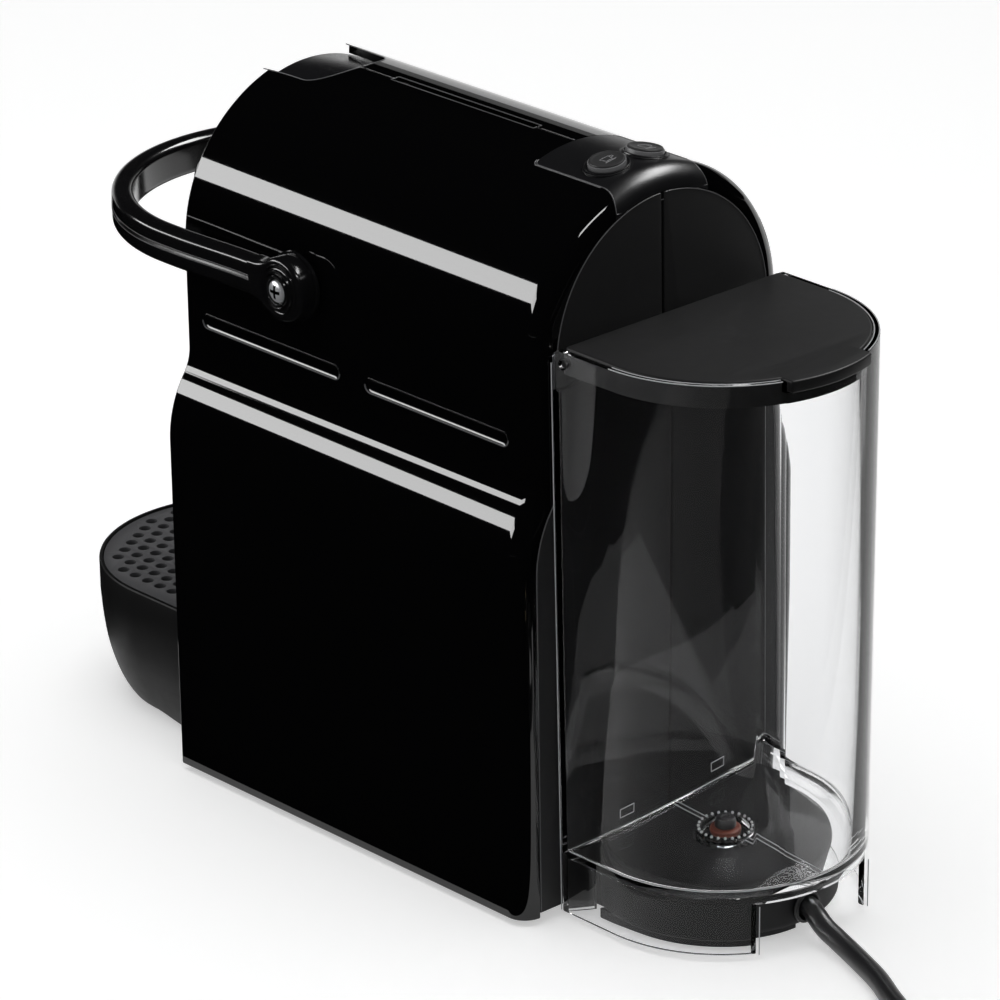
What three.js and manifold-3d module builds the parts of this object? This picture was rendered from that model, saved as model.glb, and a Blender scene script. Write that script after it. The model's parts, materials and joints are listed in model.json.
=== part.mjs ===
// Pod coffee machine: a slim capsule brewer with a lift lever, a clear water tank and a drip tray.
// Millimetres, +Z up, -Y is the front (drip tray), +Y the rear (water tank), x = 0 is the mirror plane.
// The origin is the centre of the footprint, on the surface that the machine stands on.
import * as THREE from 'three';
import { mergeVertices } from 'three/addons/utils/BufferGeometryUtils.js';
import Module from 'manifold-3d';

const wasm = await Module();
wasm.setup();

// ---------------------------------------------------------------- driving dimensions
const GAP = 0.3;                 // between parts that rest on or in each other

// side covers
const coverWall = 2.5;
const lowerHalfWidth = 59.5;     // below the flare
const upperHalfWidth = 50.3;     // above the flare, also the radius of the top arch
const archCentreZ = 178.3;
const flareBottomZ = 113;
const flareTopZ = 142;
const coverBottomZ = 2;
const coverFrontY = -74.1;
const coverRearY = 86.8;
const coverLean = 3.2;           // how far the front edge leans back at the top of the arch
const rearRounding = 7;
const rearLip = 6.7;             // width of the glossy lip around the rear panel
const seamGap = 0.3;             // between the two covers at x = 0

// openings in the top of the covers
const scoopHalfWidth = 16;
const scoopRearY = -46.5;
const scoopRound = 9.5;
const scoopFlare = 1.8;
const railSlotHalfWidth = 1.7;
const railSlotFrontY = -31;
const railSlotRearY = 33;

// grooves in the flanks
const grooveZ = 153.3;
const grooveHeight = 4.8;
const grooveDepth = 0.8;
const grooveEnds = [[-66.5, -2.2], [9.3, 73]];

// button panel and buttons
const panelFrontY = 49.8;
const panelHalfWidth = 17.3;
const panelRearFlare = 2;
const buttonY = 71.3;
const buttonRadius = 5.9;
const buttonRise = 1.6;            // above the arch at rest
const buttonStemLength = 12;
const buttonFlange = 0.9;          // collar under the panel that keeps the button in
const buttonFlangeGap = 0.8;       // from each button's collar to x = 0
const bezelWidth = 1.4;
const bezelRise = 0.6;

// lever and its pivot
const pivotY = -19.5;
const pivotZ = 177.8;
const pivotHoleRadius = 7.3;
const leverOuterHalfWidth = 60.5;
const leverThickness = 7;
const leverHeight = 12;
const leverBendY = -75;
const leverFrontY = -136.5;
const leverZ = 178.4;
const leverEdge = 2.4;
const hubRadius = 10.8;
const hubInnerX = 51.5;
const stubRadius = 6;
const screwHeadRadius = 3.7;
const screwShankRadius = 1.8;
const headSeatX = hubInnerX + 7;   // plane that the screw head bears on

// brewing unit
const crankSideGap = 3.5;        // from the cranks to the frame's plates
const frameArchGap = 3.4;        // from the frame's top corners up to the covers
const brewFramePlate = 3;
const crankLength = 18;
const linkLength = 22;
const cageRadius = 19;
const cageBore = 15.6;
const cageLength = 30;
const trunnionRadius = 3;
const trunnionSetback = 4.5;     // from the cage's front face
const doorRearY = -22;
const doorThickness = 2;
const doorHalfAngle = 24 * Math.PI / 180;
const chuteHalfWidth = 18.8;
const chuteWall = 1.4;

// front head
const headHalfWidth = 38;
const headReach = 28;
const headBottomZ = 148;
const headTopZ = 196;
const headWall = 2.4;
const outletY = -90;
const outletRadius = 7.5;
const outletBottomZ = 137;

// base and dock
const basePlate = 3.6;
const footHeight = 2.6;
const footRadius = 7;
const baseTopZ = footHeight + basePlate;
const footPlaces = [[48, -62], [-48, -62], [46, 70], [-46, 70]];
const dockSkirtGap = 7.3;        // from the dock to the inside of the tank's skirt
const dockBottomZ = 3.8;
const dockTopZ = 20;
const dockWall = 2.5;
const dockNeckInset = 7.2;       // the dock is narrower where it passes under the tank's flat wall
const dockRound = 1.8;
const plinthInset = 2.7;         // rim that the dock stands on
const plinthBottomZ = 1.4;
const bulkheadY = -12.8;
const bulkheadWall = 2.6;
const bayTopZ = 118;             // height of the opening for the container, under the front panel

// drip tray
const trayRadius = 47.2;
const trayCentreY = -111.5;
const trayRimZ = 47;
const trayWall = 2.4;
const trayRearY = -18;
const trayRearHalfWidth = 46;
const gridThickness = 2.4;
const gridDrop = 0.8;            // grid face below the rim
const gridPitch = 6.2;
const gridHole = 2;

// used capsule container and cup support
const containerHalfWidth = 50;
const containerFrontY = -72.6;
const containerRearY = -17.6;
const containerTopZ = 112;
const containerWall = 2;
const supportHalfWidth = 28;
const supportLength = 38;
const supportHingeZ = 74;
const supportThickness = 3;
const supportAxisY = containerFrontY - 0.8 - supportThickness / 2;

// water tank, a D in plan that narrows towards the bottom
const tankHalfWidth = 46.3;      // at the rim
const tankDraft = 0.036;         // share by which the bottom is smaller than the rim
const tankFrontY = 87.3;
const tankCentreY = 111.6;
const tankWall = 2.1;
const tankFloorZ = 20.7;
const tankSkirtZ = 2.2;
const tankRimZ = 185.6;
const tankCornerRound = 4.5;     // where the side walls meet the flat wall at the rim
const skirtNotchHalfWidth = 23;  // way out for the cord
const lidThickness = 2.6;
const lidSkirt = 8;
const lidTabHalfWidth = 16.3;
const lidTabReach = 1.7;         // of the tab's round edge beyond the tank's rim
const lidTabDepth = 3.8;
const valveY = 112.8;
const valveBore = 7;
const valveStubRadius = 9.2;
const valveThroat = 3.6;
const valveStemZ = 15;
const lidPinRadius = 1.3;
const lidTopZ = tankRimZ + 0.5;
const dockRadius = tankHalfWidth * (1 - tankDraft) - tankWall - dockSkirtGap;
const plinthRadius = dockRadius - plinthInset;
const dockNeckHalfWidth = dockRadius - dockNeckInset;
const tankFlatTopZ = 172;        // the flat wall is lower, which lets the lid's edge swing past
const lidFrontY = tankFrontY + 3.7;
const lidAxisY = tankFrontY + 5.1;
const lidAxisZ = tankRimZ - 4.1;
const lidPinX = tankHalfWidth - tankWall - 0.6;

// pump, heater, board
const pumpX = -27;
const pumpZ = 34;
const pumpRadius = 16;
const pumpMountHalf = 21;
const heaterBox = { x0: 6, x1: 46, y0: 6, y1: 64, z0: 50, z1: 86 };
const boardZ = 206;
const boardY0 = 46;
const boardY1 = 82;
const meterX = (heaterBox.x0 + heaterBox.x1) / 2;
const meterY = (heaterBox.y0 + heaterBox.y1) / 2;
const meterZ0 = 20;
const meterZ1 = 36;
const heaterPosts = [[heaterBox.x0 + 6, heaterBox.y0 + 6], [heaterBox.x1 - 6, heaterBox.y0 + 6],
  [heaterBox.x0 + 6, heaterBox.y1 - 6], [heaterBox.x1 - 6, heaterBox.y1 - 6]];

// power cord
const cordRadius = 3.3;
const glandX = 0;
const glandZ = 9.6;
const glandNeck = 4.2;
const plugPinRadius = 2;
const coilRadius = 33;           // middle of the bundle of turns
const coilBundle = 7.4;          // half the bundle's thickness

// ---------------------------------------------------------------- materials
const glossBlack = { color: 0x060607, roughness: 0.06, metalness: 0 };
const mattBlack = { color: 0x141415, roughness: 0.62, metalness: 0 };
const satinBlack = { color: 0x0c0c0d, roughness: 0.32, metalness: 0 };
const gridGrey = { color: 0x3a3a3c, roughness: 0.6, metalness: 0 };
const rubberBlack = { color: 0x101010, roughness: 0.85, metalness: 0 };
const clearPlastic = { color: 0xe8eef0, roughness: 0.03, metalness: 0, transparent: true, opacity: 0.3 };
const chrome = { color: 0xc9ccd0, roughness: 0.12, metalness: 1 };
const aluminium = { color: 0xa9abad, roughness: 0.4, metalness: 1 };
const sealRed = { color: 0x7a3a2a, roughness: 0.6, metalness: 0 };
const whitePlastic = { color: 0xd9d8d2, roughness: 0.5, metalness: 0 };
const boardGreen = { color: 0x1f5a36, roughness: 0.55, metalness: 0 };
const hoseClear = { color: 0xd8d5c8, roughness: 0.4, metalness: 0 };
const buttonGrey = { color: 0x4a4a4c, roughness: 0.45, metalness: 0 };

// ---------------------------------------------------------------- solids
function solid(geometry) {
  const g = geometry.clone();
  g.deleteAttribute('normal');
  g.deleteAttribute('uv');
  const merged = mergeVertices(g, 1e-4);
  const vertProperties = new Float32Array(merged.attributes.position.array);
  const triVerts = new Uint32Array(merged.index.array);
  return new wasm.Manifold(new wasm.Mesh({ numProp: 3, vertProperties, triVerts }));
}

function geometryOf(body) {
  const mesh = body.getMesh();
  const g = new THREE.BufferGeometry();
  g.setAttribute('position', new THREE.BufferAttribute(new Float32Array(mesh.vertProperties), 3));
  g.setIndex(new THREE.BufferAttribute(new Uint32Array(mesh.triVerts), 1));
  g.computeVertexNormals();
  return g;
}

const machine = new THREE.Group();

function addPart(name, body, material) {
  const mesh = new THREE.Mesh(geometryOf(body), new THREE.MeshStandardMaterial(material));
  mesh.name = name;
  machine.add(mesh);
  return mesh;
}

const join = (first, ...rest) => rest.reduce((all, next) => all.add(next), first);
const cut = (first, ...rest) => rest.reduce((left, next) => left.subtract(next), first);

function box(x0, x1, y0, y1, z0, z1) {
  const g = new THREE.BoxGeometry(x1 - x0, y1 - y0, z1 - z0);
  g.translate((x0 + x1) / 2, (y0 + y1) / 2, (z0 + z1) / 2);
  return solid(g);
}

// A cylinder or cone between two points on a line along one of the axes.
function rod(axis, radius, from, to, u, v, sides = 24, endRadius = radius) {
  const g = new THREE.CylinderGeometry(endRadius, radius, to - from, sides);
  if (axis === 'x') { g.rotateZ(-Math.PI / 2); g.translate((from + to) / 2, u, v); }
  if (axis === 'y') { g.translate(0, (from + to) / 2, 0); g.translate(u, 0, v); }
  if (axis === 'z') { g.rotateX(Math.PI / 2); g.translate(u, v, (from + to) / 2); }
  return solid(g);
}

function extruded(shape, depth, basis, offset, curveSegments, bevel) {
  const options = { depth, curveSegments, bevelEnabled: false, ...bevel };
  const g = new THREE.ExtrudeGeometry(shape, options);
  g.applyMatrix4(new THREE.Matrix4().makeBasis(...basis));
  g.translate(...offset);
  return solid(g);
}

const X = new THREE.Vector3(1, 0, 0);
const Y = new THREE.Vector3(0, 1, 0);
const Z = new THREE.Vector3(0, 0, 1);

// shape drawn in (x, y), standing from z0 to z1
const prismZ = (shape, z0, z1, segments = 12) => extruded(shape, z1 - z0, [X, Y, Z], [0, 0, z0], segments);
// shape drawn in (y, z), lying from x0 to x1
const prismX = (shape, x0, x1, segments = 12) => extruded(shape, x1 - x0, [Y, Z, X], [x0, 0, 0], segments);
// shape drawn in (x, z), running back from y0 to y1
const prismY = (shape, y0, y1, segments = 12) =>
  extruded(shape, y1 - y0, [X, Z, Y.clone().negate()], [0, y1, 0], segments);

// A closed (radius, height) profile turned about a vertical line, or about a line along Y or X.
function turned(profile, axis, u, v, sides = 32) {
  const g = new THREE.LatheGeometry(profile.map(([r, h]) => new THREE.Vector2(r, h)), sides);
  if (axis === 'z') { g.rotateX(Math.PI / 2); g.translate(u, v, 0); }
  if (axis === 'y') { g.translate(u, 0, v); }
  if (axis === 'x') { g.rotateZ(-Math.PI / 2); g.translate(0, u, v); }
  return solid(g);
}

function roundedSlot(u0, u1, v, height) {
  const r = height / 2;
  const s = new THREE.Shape();
  s.moveTo(u0 + r, v - r);
  s.lineTo(u1 - r, v - r);
  s.absarc(u1 - r, v, r, -Math.PI / 2, Math.PI / 2, false);
  s.lineTo(u0 + r, v + r);
  s.absarc(u0 + r, v, r, Math.PI / 2, 1.5 * Math.PI, false);
  return s;
}

// A D in plan: straight across the front, straight sides back to the arc's centre, then a half round.
function dPlan(halfWidth, frontY, centreY, sign = 1) {
  const s = new THREE.Shape();
  if (sign > 0) {
    s.moveTo(halfWidth, frontY);
    s.lineTo(halfWidth, centreY);
    s.absarc(0, centreY, halfWidth, 0, Math.PI, false);
    s.lineTo(-halfWidth, frontY);
  } else {
    s.moveTo(-halfWidth, frontY);
    s.lineTo(-halfWidth, centreY);
    s.absarc(0, centreY, halfWidth, Math.PI, 2 * Math.PI, false);
    s.lineTo(halfWidth, frontY);
  }
  s.closePath();
  return s;
}

function tube(points, radius, sides, steps) {
  const path = new THREE.CatmullRomCurve3(points.map((p) => new THREE.Vector3(...p)), false, 'centripetal');
  const section = new THREE.Shape();
  for (let i = 0; i < sides; i++) {
    const a = (2 * Math.PI * i) / sides;
    const u = radius * Math.cos(a);
    const v = radius * Math.sin(a);
    if (i === 0) section.moveTo(u, v);
    else section.lineTo(u, v);
  }
  section.closePath();
  return solid(new THREE.ExtrudeGeometry(section, { steps, bevelEnabled: false, extrudePath: path }));
}

// ---------------------------------------------------------------- covers
// Cross-section of the body: straight lower flanks, an S-shaped flare inwards, upper flanks, top arch.
function bodyOutline(inset, bottomZ) {
  const low = lowerHalfWidth - inset;
  const up = upperHalfWidth - inset;
  const bend = 0.42 * (flareTopZ - flareBottomZ);
  const s = new THREE.Shape();
  s.moveTo(-low, bottomZ);
  s.lineTo(low, bottomZ);
  s.lineTo(low, flareBottomZ);
  s.bezierCurveTo(low, flareBottomZ + bend, up, flareTopZ - bend, up, flareTopZ);
  s.lineTo(up, archCentreZ);
  s.absarc(0, archCentreZ, up, 0, Math.PI, false);
  s.lineTo(-up, flareTopZ);
  s.bezierCurveTo(-up, flareTopZ - bend, -low, flareBottomZ + bend, -low, flareBottomZ);
  s.closePath();
  return s;
}

function roundedBody(inset, bottomZ, rearY, round) {
  const depth = 220;
  const bevel = {
    bevelEnabled: true, bevelThickness: round, bevelSize: round, bevelOffset: -round, bevelSegments: 4,
  };
  return extruded(bodyOutline(inset, bottomZ), depth, [X, Z, Y.clone().negate()],
    [0, rearY - round, 0], 10, bevel);
}

function coverSide() {
  const top = archCentreZ + upperHalfWidth + 5;
  const corner = 3;
  const s = new THREE.Shape();
  s.moveTo(coverFrontY + corner, coverBottomZ - 1);
  s.lineTo(coverRearY + 5, coverBottomZ - 1);
  s.lineTo(coverRearY + 5, top);
  s.lineTo(coverFrontY + coverLean, top);
  s.quadraticCurveTo(coverFrontY, archCentreZ + 0.4 * upperHalfWidth, coverFrontY, archCentreZ - 10);
  s.lineTo(coverFrontY, coverBottomZ - 1 + corner);
  s.closePath();
  return prismX(s, -lowerHalfWidth - 5, lowerHalfWidth + 5, 8);
}

function scoopPlan(clearance) {
  const half = scoopHalfWidth - clearance;
  const bendY = scoopRearY - scoopRound;
  const s = new THREE.Shape();
  s.moveTo(half + scoopFlare, coverFrontY - 5);
  s.quadraticCurveTo(half, coverFrontY + 5, half, bendY);
  s.absellipse(0, bendY, half, scoopRound - clearance, 0, Math.PI, false, 0);
  s.quadraticCurveTo(-half, coverFrontY + 5, -half - scoopFlare, coverFrontY - 5);
  s.closePath();
  return s;
}

function panelPlan(clearance) {
  const half = panelHalfWidth + clearance;
  const front = panelFrontY - clearance;
  const r = 2;
  const s = new THREE.Shape();
  s.moveTo(half, front + r);
  s.lineTo(half, coverRearY - 7);
  s.quadraticCurveTo(half, coverRearY - 2, half + panelRearFlare, coverRearY + 1);
  s.lineTo(-half - panelRearFlare, coverRearY + 1);
  s.quadraticCurveTo(-half, coverRearY - 2, -half, coverRearY - 7);
  s.lineTo(-half, front + r);
  s.absarc(-half + r, front + r, r, Math.PI, 1.5 * Math.PI, false);
  s.lineTo(half - r, front);
  s.absarc(half - r, front + r, r, -Math.PI / 2, 0, false);
  s.closePath();
  return s;
}

const overTheTop = archCentreZ + upperHalfWidth + 5;
const archInside = upperHalfWidth - coverWall;

function shellBody() {
  const outer = roundedBody(0, coverBottomZ, coverRearY, rearRounding).intersect(coverSide());
  const cavity = roundedBody(coverWall, coverBottomZ - 12, coverRearY - coverWall, rearRounding - coverWall);
  const rearOpening = prismY(bodyOutline(rearLip, coverBottomZ - 12), coverRearY - 20, coverRearY + 5, 10);
  return cut(outer, cavity, rearOpening);
}

const shell = shellBody();

function coverHalf(side) {
  const cutters = [
    prismZ(scoopPlan(0), archCentreZ + 25, overTheTop, 8),
    box(-railSlotHalfWidth, railSlotHalfWidth, railSlotFrontY, railSlotRearY, archCentreZ + 30, overTheTop),
    prismZ(panelPlan(GAP), archCentreZ + 20, overTheTop, 6),
    rod('x', pivotHoleRadius, -80, 80, pivotY, pivotZ, 28),
  ];
  for (const [y0, y1] of grooveEnds) {
    const plan = roundedSlot(y0, y1, grooveZ, grooveHeight);
    const face = upperHalfWidth - grooveDepth;
    cutters.push(side > 0 ? prismX(plan, face, face + 5, 6) : prismX(plan, -face - 5, -face, 6));
  }
  const halfSpace = side > 0
    ? box(seamGap / 2, 90, -120, 120, -10, 260)
    : box(-90, -seamGap / 2, -120, 120, -10, 260);
  return cut(shell, ...cutters).intersect(halfSpace);
}

addPart('right_side_cover', coverHalf(1), glossBlack);
addPart('left_side_cover', coverHalf(-1), glossBlack);

// The two halves of the rear wall, set in the lip of the covers and cut out around the dock.
const rearPanelWall = 2.5;
const rearPanelSeam = 0.9;
const boardShelfZ = boardZ - 2.3;

function rearPanel(side) {
  const front = coverRearY - rearPanelWall;
  const plate = prismY(bodyOutline(rearLip + GAP, dockBottomZ), front, coverRearY, 12);
  const dockNotch = box(-dockNeckHalfWidth - GAP, dockNeckHalfWidth + GAP, front - 1, coverRearY + 1, -10, dockTopZ + GAP);
  const shelf = side > 0
    ? box(4, 28, boardY0 + 2, front + 0.5, boardShelfZ - 2, boardShelfZ)
    : box(-28, -4, boardY0 + 2, front + 0.5, boardShelfZ - 2, boardShelfZ);
  const half = side > 0
    ? box(rearPanelSeam / 2, 90, -120, 120, -10, 260)
    : box(-90, -rearPanelSeam / 2, -120, 120, -10, 260);
  return join(cut(plate, dockNotch).intersect(half), shelf);
}

addPart('rear_panel_right', rearPanel(1), mattBlack);
addPart('rear_panel_left', rearPanel(-1), mattBlack);

// ---------------------------------------------------------------- button panel and buttons
const flangeRadius = buttonRadius + buttonFlange;
const buttonX = flangeRadius + buttonFlangeGap;
const buttonTilt = Math.asin(buttonX / upperHalfWidth);
const archZAt = (x, radius = upperHalfWidth) => archCentreZ + Math.sqrt(radius * radius - x * x);

// Places a solid drawn about the vertical line x = y = 0, z = 0 on the arch, square to it at a button.
function atButton(body, side) {
  const m = new THREE.Matrix4().makeTranslation(side * buttonX, buttonY, archZAt(buttonX));
  m.multiply(new THREE.Matrix4().makeRotationY(side * buttonTilt));
  return body.transform(m.elements);
}

const buttonHoleRadius = buttonRadius + GAP;
const archDrop = flangeRadius * flangeRadius / (2 * (upperHalfWidth - coverWall));
const flangeTop = -coverWall - GAP - archDrop;
const buttonTravel = 1.2;

function buttonPanel() {
  let panel = shell.intersect(prismZ(panelPlan(0), archCentreZ + 20, overTheTop, 6));
  for (const side of [1, -1]) {
    const ring = rod('z', buttonHoleRadius + bezelWidth, -1, bezelRise, 0, 0, 20);
    panel = join(panel, atButton(ring, side));
  }
  for (const side of [1, -1]) {
    panel = cut(panel, atButton(rod('z', buttonHoleRadius, -8, 8, 0, 0, 20), side));
  }
  return panel;
}

addPart('button_panel', buttonPanel(), mattBlack);

function button(side) {
  const profile = [
    [0, -buttonStemLength], [2.2, -buttonStemLength], [2.2, flangeTop - 1.4], [flangeRadius, flangeTop - 1.4],
    [flangeRadius, flangeTop], [buttonRadius, flangeTop], [buttonRadius, buttonRise - 0.6],
    [buttonRadius - 0.6, buttonRise], [0, buttonRise],
  ];
  return atButton(turned(profile, 'z', 0, 0, 20), side);
}

addPart('espresso_button', button(1), buttonGrey);
addPart('lungo_button', button(-1), buttonGrey);

// ---------------------------------------------------------------- lever
function leverLoop(inset) {
  const half = leverOuterHalfWidth - inset;
  const reach = leverBendY - leverFrontY - inset;
  return { half, reach };
}

function lever() {
  const outer = leverLoop(0);
  const inner = leverLoop(leverThickness);
  const s = new THREE.Shape();
  s.moveTo(outer.half, pivotY);
  s.lineTo(inner.half, pivotY);
  s.lineTo(inner.half, leverBendY);
  s.absellipse(0, leverBendY, inner.half, inner.reach, 0, -Math.PI, true, 0);
  s.lineTo(-inner.half, pivotY);
  s.lineTo(-outer.half, pivotY);
  s.lineTo(-outer.half, leverBendY);
  s.absellipse(0, leverBendY, outer.half, outer.reach, -Math.PI, 0, false, 0);
  s.closePath();
  const bevel = {
    bevelEnabled: true, bevelThickness: leverEdge, bevelSize: leverEdge, bevelOffset: -leverEdge, bevelSegments: 2,
  };
  const z0 = leverZ - leverHeight / 2 + leverEdge;
  let body = extruded(s, leverHeight - 2 * leverEdge, [X, Y, Z], [0, 0, z0], 9, bevel);
  for (const side of [1, -1]) {
    const hub = [
      [0, hubInnerX], [hubRadius, hubInnerX], [hubRadius, hubInnerX + 6.2], [hubRadius - 1.6, hubInnerX + 7.4],
      [hubRadius - 3.4, hubInnerX + 7.4], [hubRadius - 3.4, hubInnerX + 8.2], [hubRadius - 5.2, hubInnerX + 8.2],
      [0, hubInnerX + 8.2],
    ];
    const ring = hub.map(([r, x]) => [r, side * x]);
    if (side < 0) ring.reverse();
    body = join(body, turned(ring, 'x', pivotY, pivotZ, 20));
  }
  for (const side of [1, -1]) {
    const [from, to] = side > 0 ? [40, 70] : [-70, -40];
    const [headFrom, headTo] = side > 0 ? [headSeatX, 70] : [-70, -headSeatX];
    body = cut(body,
      rod('x', screwShankRadius + GAP, from, to, pivotY, pivotZ, 16),
      rod('x', screwHeadRadius + GAP, headFrom, headTo, pivotY, pivotZ, 20));
  }
  return body;
}

addPart('lever', lever(), satinBlack);

function leverScrew(side) {
  const head = [
    [0, 44], [screwShankRadius, 44], [screwShankRadius, headSeatX + GAP], [screwHeadRadius, headSeatX + GAP],
    [screwHeadRadius, headSeatX + 1.5], [screwHeadRadius - 1.2, headSeatX + 2.2], [0, headSeatX + 2.2],
  ].map(([r, x]) => [r, side * x]);
  if (side < 0) head.reverse();
  const screw = turned(head, 'x', pivotY, pivotZ, 14);
  const socketX = headSeatX + 1;
  const [x0, x1] = side > 0 ? [socketX, socketX + 3] : [-socketX - 3, -socketX];
  return cut(screw,
    box(x0, x1, pivotY - 1.9, pivotY + 1.9, pivotZ - 0.5, pivotZ + 0.5),
    box(x0, x1, pivotY - 0.5, pivotY + 0.5, pivotZ - 1.9, pivotZ + 1.9));
}

addPart('lever_screw_right', leverScrew(1), chrome);
addPart('lever_screw_left', leverScrew(-1), chrome);

// ---------------------------------------------------------------- brewing unit
const brewZ = pivotZ;
const cageFrontY = pivotY - crankLength - linkLength - trunnionSetback;
const trunnionY = cageFrontY + trunnionSetback;
const cageRearY = cageFrontY + cageLength;
const linkX0 = cageRadius + 1.5;
const linkPlate = 2.8;
const crankX0 = linkX0 + linkPlate + GAP;
const crankPlate = 2.9;
const brewFrameHalfGap = crankX0 + crankPlate + crankSideGap;
const brewTravel = 28.8;
const hoseEndY = cageRearY + brewTravel + 13.5;
const frameTopZ = archCentreZ - frameArchGap
  + Math.sqrt(archInside ** 2 - (brewFrameHalfGap + brewFramePlate) ** 2);

// Crank: stub shaft through the cover with an arm whose pin drives the toggle link.
function crank(side) {
  const place = (x0, x1) => (side > 0 ? [x0, x1] : [-x1, -x0]);
  const arm = prismX(roundedSlot(pivotY - crankLength - 5, pivotY + 8, pivotZ, 10),
    ...place(crankX0, crankX0 + crankPlate), 8);
  const stub = rod('x', stubRadius, ...place(crankX0 + 1, hubInnerX - GAP), pivotY, pivotZ, 16);
  const thread = rod('x', screwShankRadius + GAP, ...place(43, 60), pivotY, pivotZ, 14);
  return cut(join(arm, stub), thread);
}

addPart('crank_right', crank(1), aluminium);
addPart('crank_left', crank(-1), aluminium);

function toggleLink(side) {
  const [x0, x1] = side > 0 ? [linkX0, linkX0 + linkPlate] : [-linkX0 - linkPlate, -linkX0];
  const plate = prismX(roundedSlot(trunnionY - 5, trunnionY + linkLength + 5, brewZ, 10), x0, x1, 8);
  return cut(plate,
    rod('x', trunnionRadius + GAP, x0 - 1, x1 + 1, trunnionY, brewZ, 14),
    rod('x', 2.2, x0 - 1, x1 + 1, trunnionY + linkLength, brewZ, 10));
}

addPart('toggle_link_right', toggleLink(1), aluminium);
addPart('toggle_link_left', toggleLink(-1), aluminium);

function capsuleCage() {
  const back = cageRearY - 4;
  const cup = turned([
    [0, back], [cageBore - 3.6, back], [cageBore, cageFrontY], [cageRadius, cageFrontY], [cageRadius, back],
    [12, cageRearY - 2], [9, cageRearY], [0, cageRearY],
  ], 'y', 0, brewZ, 20);
  const pins = rod('x', trunnionRadius, -brewFrameHalfGap - brewFramePlate, brewFrameHalfGap + brewFramePlate,
    trunnionY, brewZ, 14);
  const bore = rod('y', cageBore - 1.6, cageFrontY - 1, back - 1, 0, brewZ, 20);
  const waterInlet = rod('y', 1.6, cageFrontY, cageRearY + 2, 0, brewZ, 12);
  return cut(join(cup, cut(pins, bore)), waterInlet);
}

addPart('capsule_cage', capsuleCage(), mattBlack);

// Disc that the capsule is pressed against, with the channel that leads the coffee to the outlet.
const sealFaceY = cageFrontY - GAP;
const frontPanelY0 = -71.4;
const frontPanelY1 = sealFaceY - 3.4;

function extractionPlate() {
  const disc = rod('y', cageRadius + 1, sealFaceY - 3, sealFaceY, 0, brewZ, 24);
  const channel = box(-5, 5, outletY - 5, sealFaceY - 1, headBottomZ + 5.2, headBottomZ + 13.5);
  const channelCut = box(-3.2, 3.2, outletY - 3.2, sealFaceY - 2.6, headBottomZ + 7.2, headBottomZ + 20);
  const drop = rod('z', 2.6, headBottomZ, headBottomZ + 9, 0, outletY, 12);
  return cut(join(disc, channel), channelCut, drop);
}

addPart('extraction_plate', extractionPlate(), mattBlack);

// Two side plates with bearings for the cranks and guide slots for the cage, on legs from the base.
function brewFrame() {
  const s = new THREE.Shape();
  const frontY = sealFaceY - 2.9;
  const legY0 = bulkheadY + bulkheadWall + 0.5;
  const legY1 = legY0 + 6.5;
  const bottomZ = brewZ - cageRadius - 6;
  const rearY = cageRearY + brewTravel + 16;
  s.moveTo(legY0, baseTopZ + GAP);
  s.lineTo(legY1, baseTopZ + GAP);
  s.lineTo(legY1, bottomZ);
  s.lineTo(rearY, bottomZ);
  s.lineTo(rearY, frameTopZ);
  s.lineTo(frontY, frameTopZ);
  s.lineTo(frontY, bottomZ);
  s.lineTo(legY0, bottomZ);
  s.closePath();
  const x0 = brewFrameHalfGap;
  const x1 = brewFrameHalfGap + brewFramePlate;
  const sides = join(prismX(s, x0, x1), prismX(s, -x1, -x0));
  const bearing = rod('x', stubRadius + GAP, -80, 80, pivotY, pivotZ, 16);
  const guideEnd = trunnionRadius + GAP;
  const guide = roundedSlot(trunnionY - guideEnd, trunnionY + brewTravel + guideEnd, brewZ, 2 * guideEnd);
  const crossPlate = box(-x0 - 1, x0 + 1, rearY - 3, rearY, bottomZ, frameTopZ);
  const footBar = box(-x0 - 1, x0 + 1, legY0, legY1, baseTopZ + GAP, baseTopZ + 3);
  const frame = join(cut(sides, bearing, prismX(guide, -80, 80, 8)), crossPlate, footBar);
  return cut(frame, rod('y', 5, rearY - 4, rearY + 1, 0, brewZ, 16));
}

addPart('brew_frame', brewFrame(), mattBlack);

// Funnel between the opening in the top and the brewing chamber.
const chuteY0 = frontPanelY1 + GAP;
const chuteY1 = -37.5;
const chuteBottomZ = brewZ + crankLength + 5 + 0.8;

function capsuleChute() {
  const half = chuteHalfWidth;
  const wallY = chuteWall;
  const outer = box(-half - chuteWall, half + chuteWall, chuteY0, chuteY1, chuteBottomZ, 217.5);
  const flange = box(-brewFrameHalfGap + GAP, brewFrameHalfGap - GAP, chuteY0, chuteY1, frameTopZ - 3, frameTopZ);
  const bore = box(-half, half, chuteY0 + wallY, chuteY1 - wallY, chuteBottomZ - 5, 230);
  return cut(join(outer, flange), bore);
}

addPart('capsule_chute', capsuleChute(), mattBlack);

// Curved door under the arch that closes the capsule opening; its rib runs in the slot of the covers.
const doorOuter = archInside - GAP;
const doorFrontY = coverFrontY + 2.4;

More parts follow.
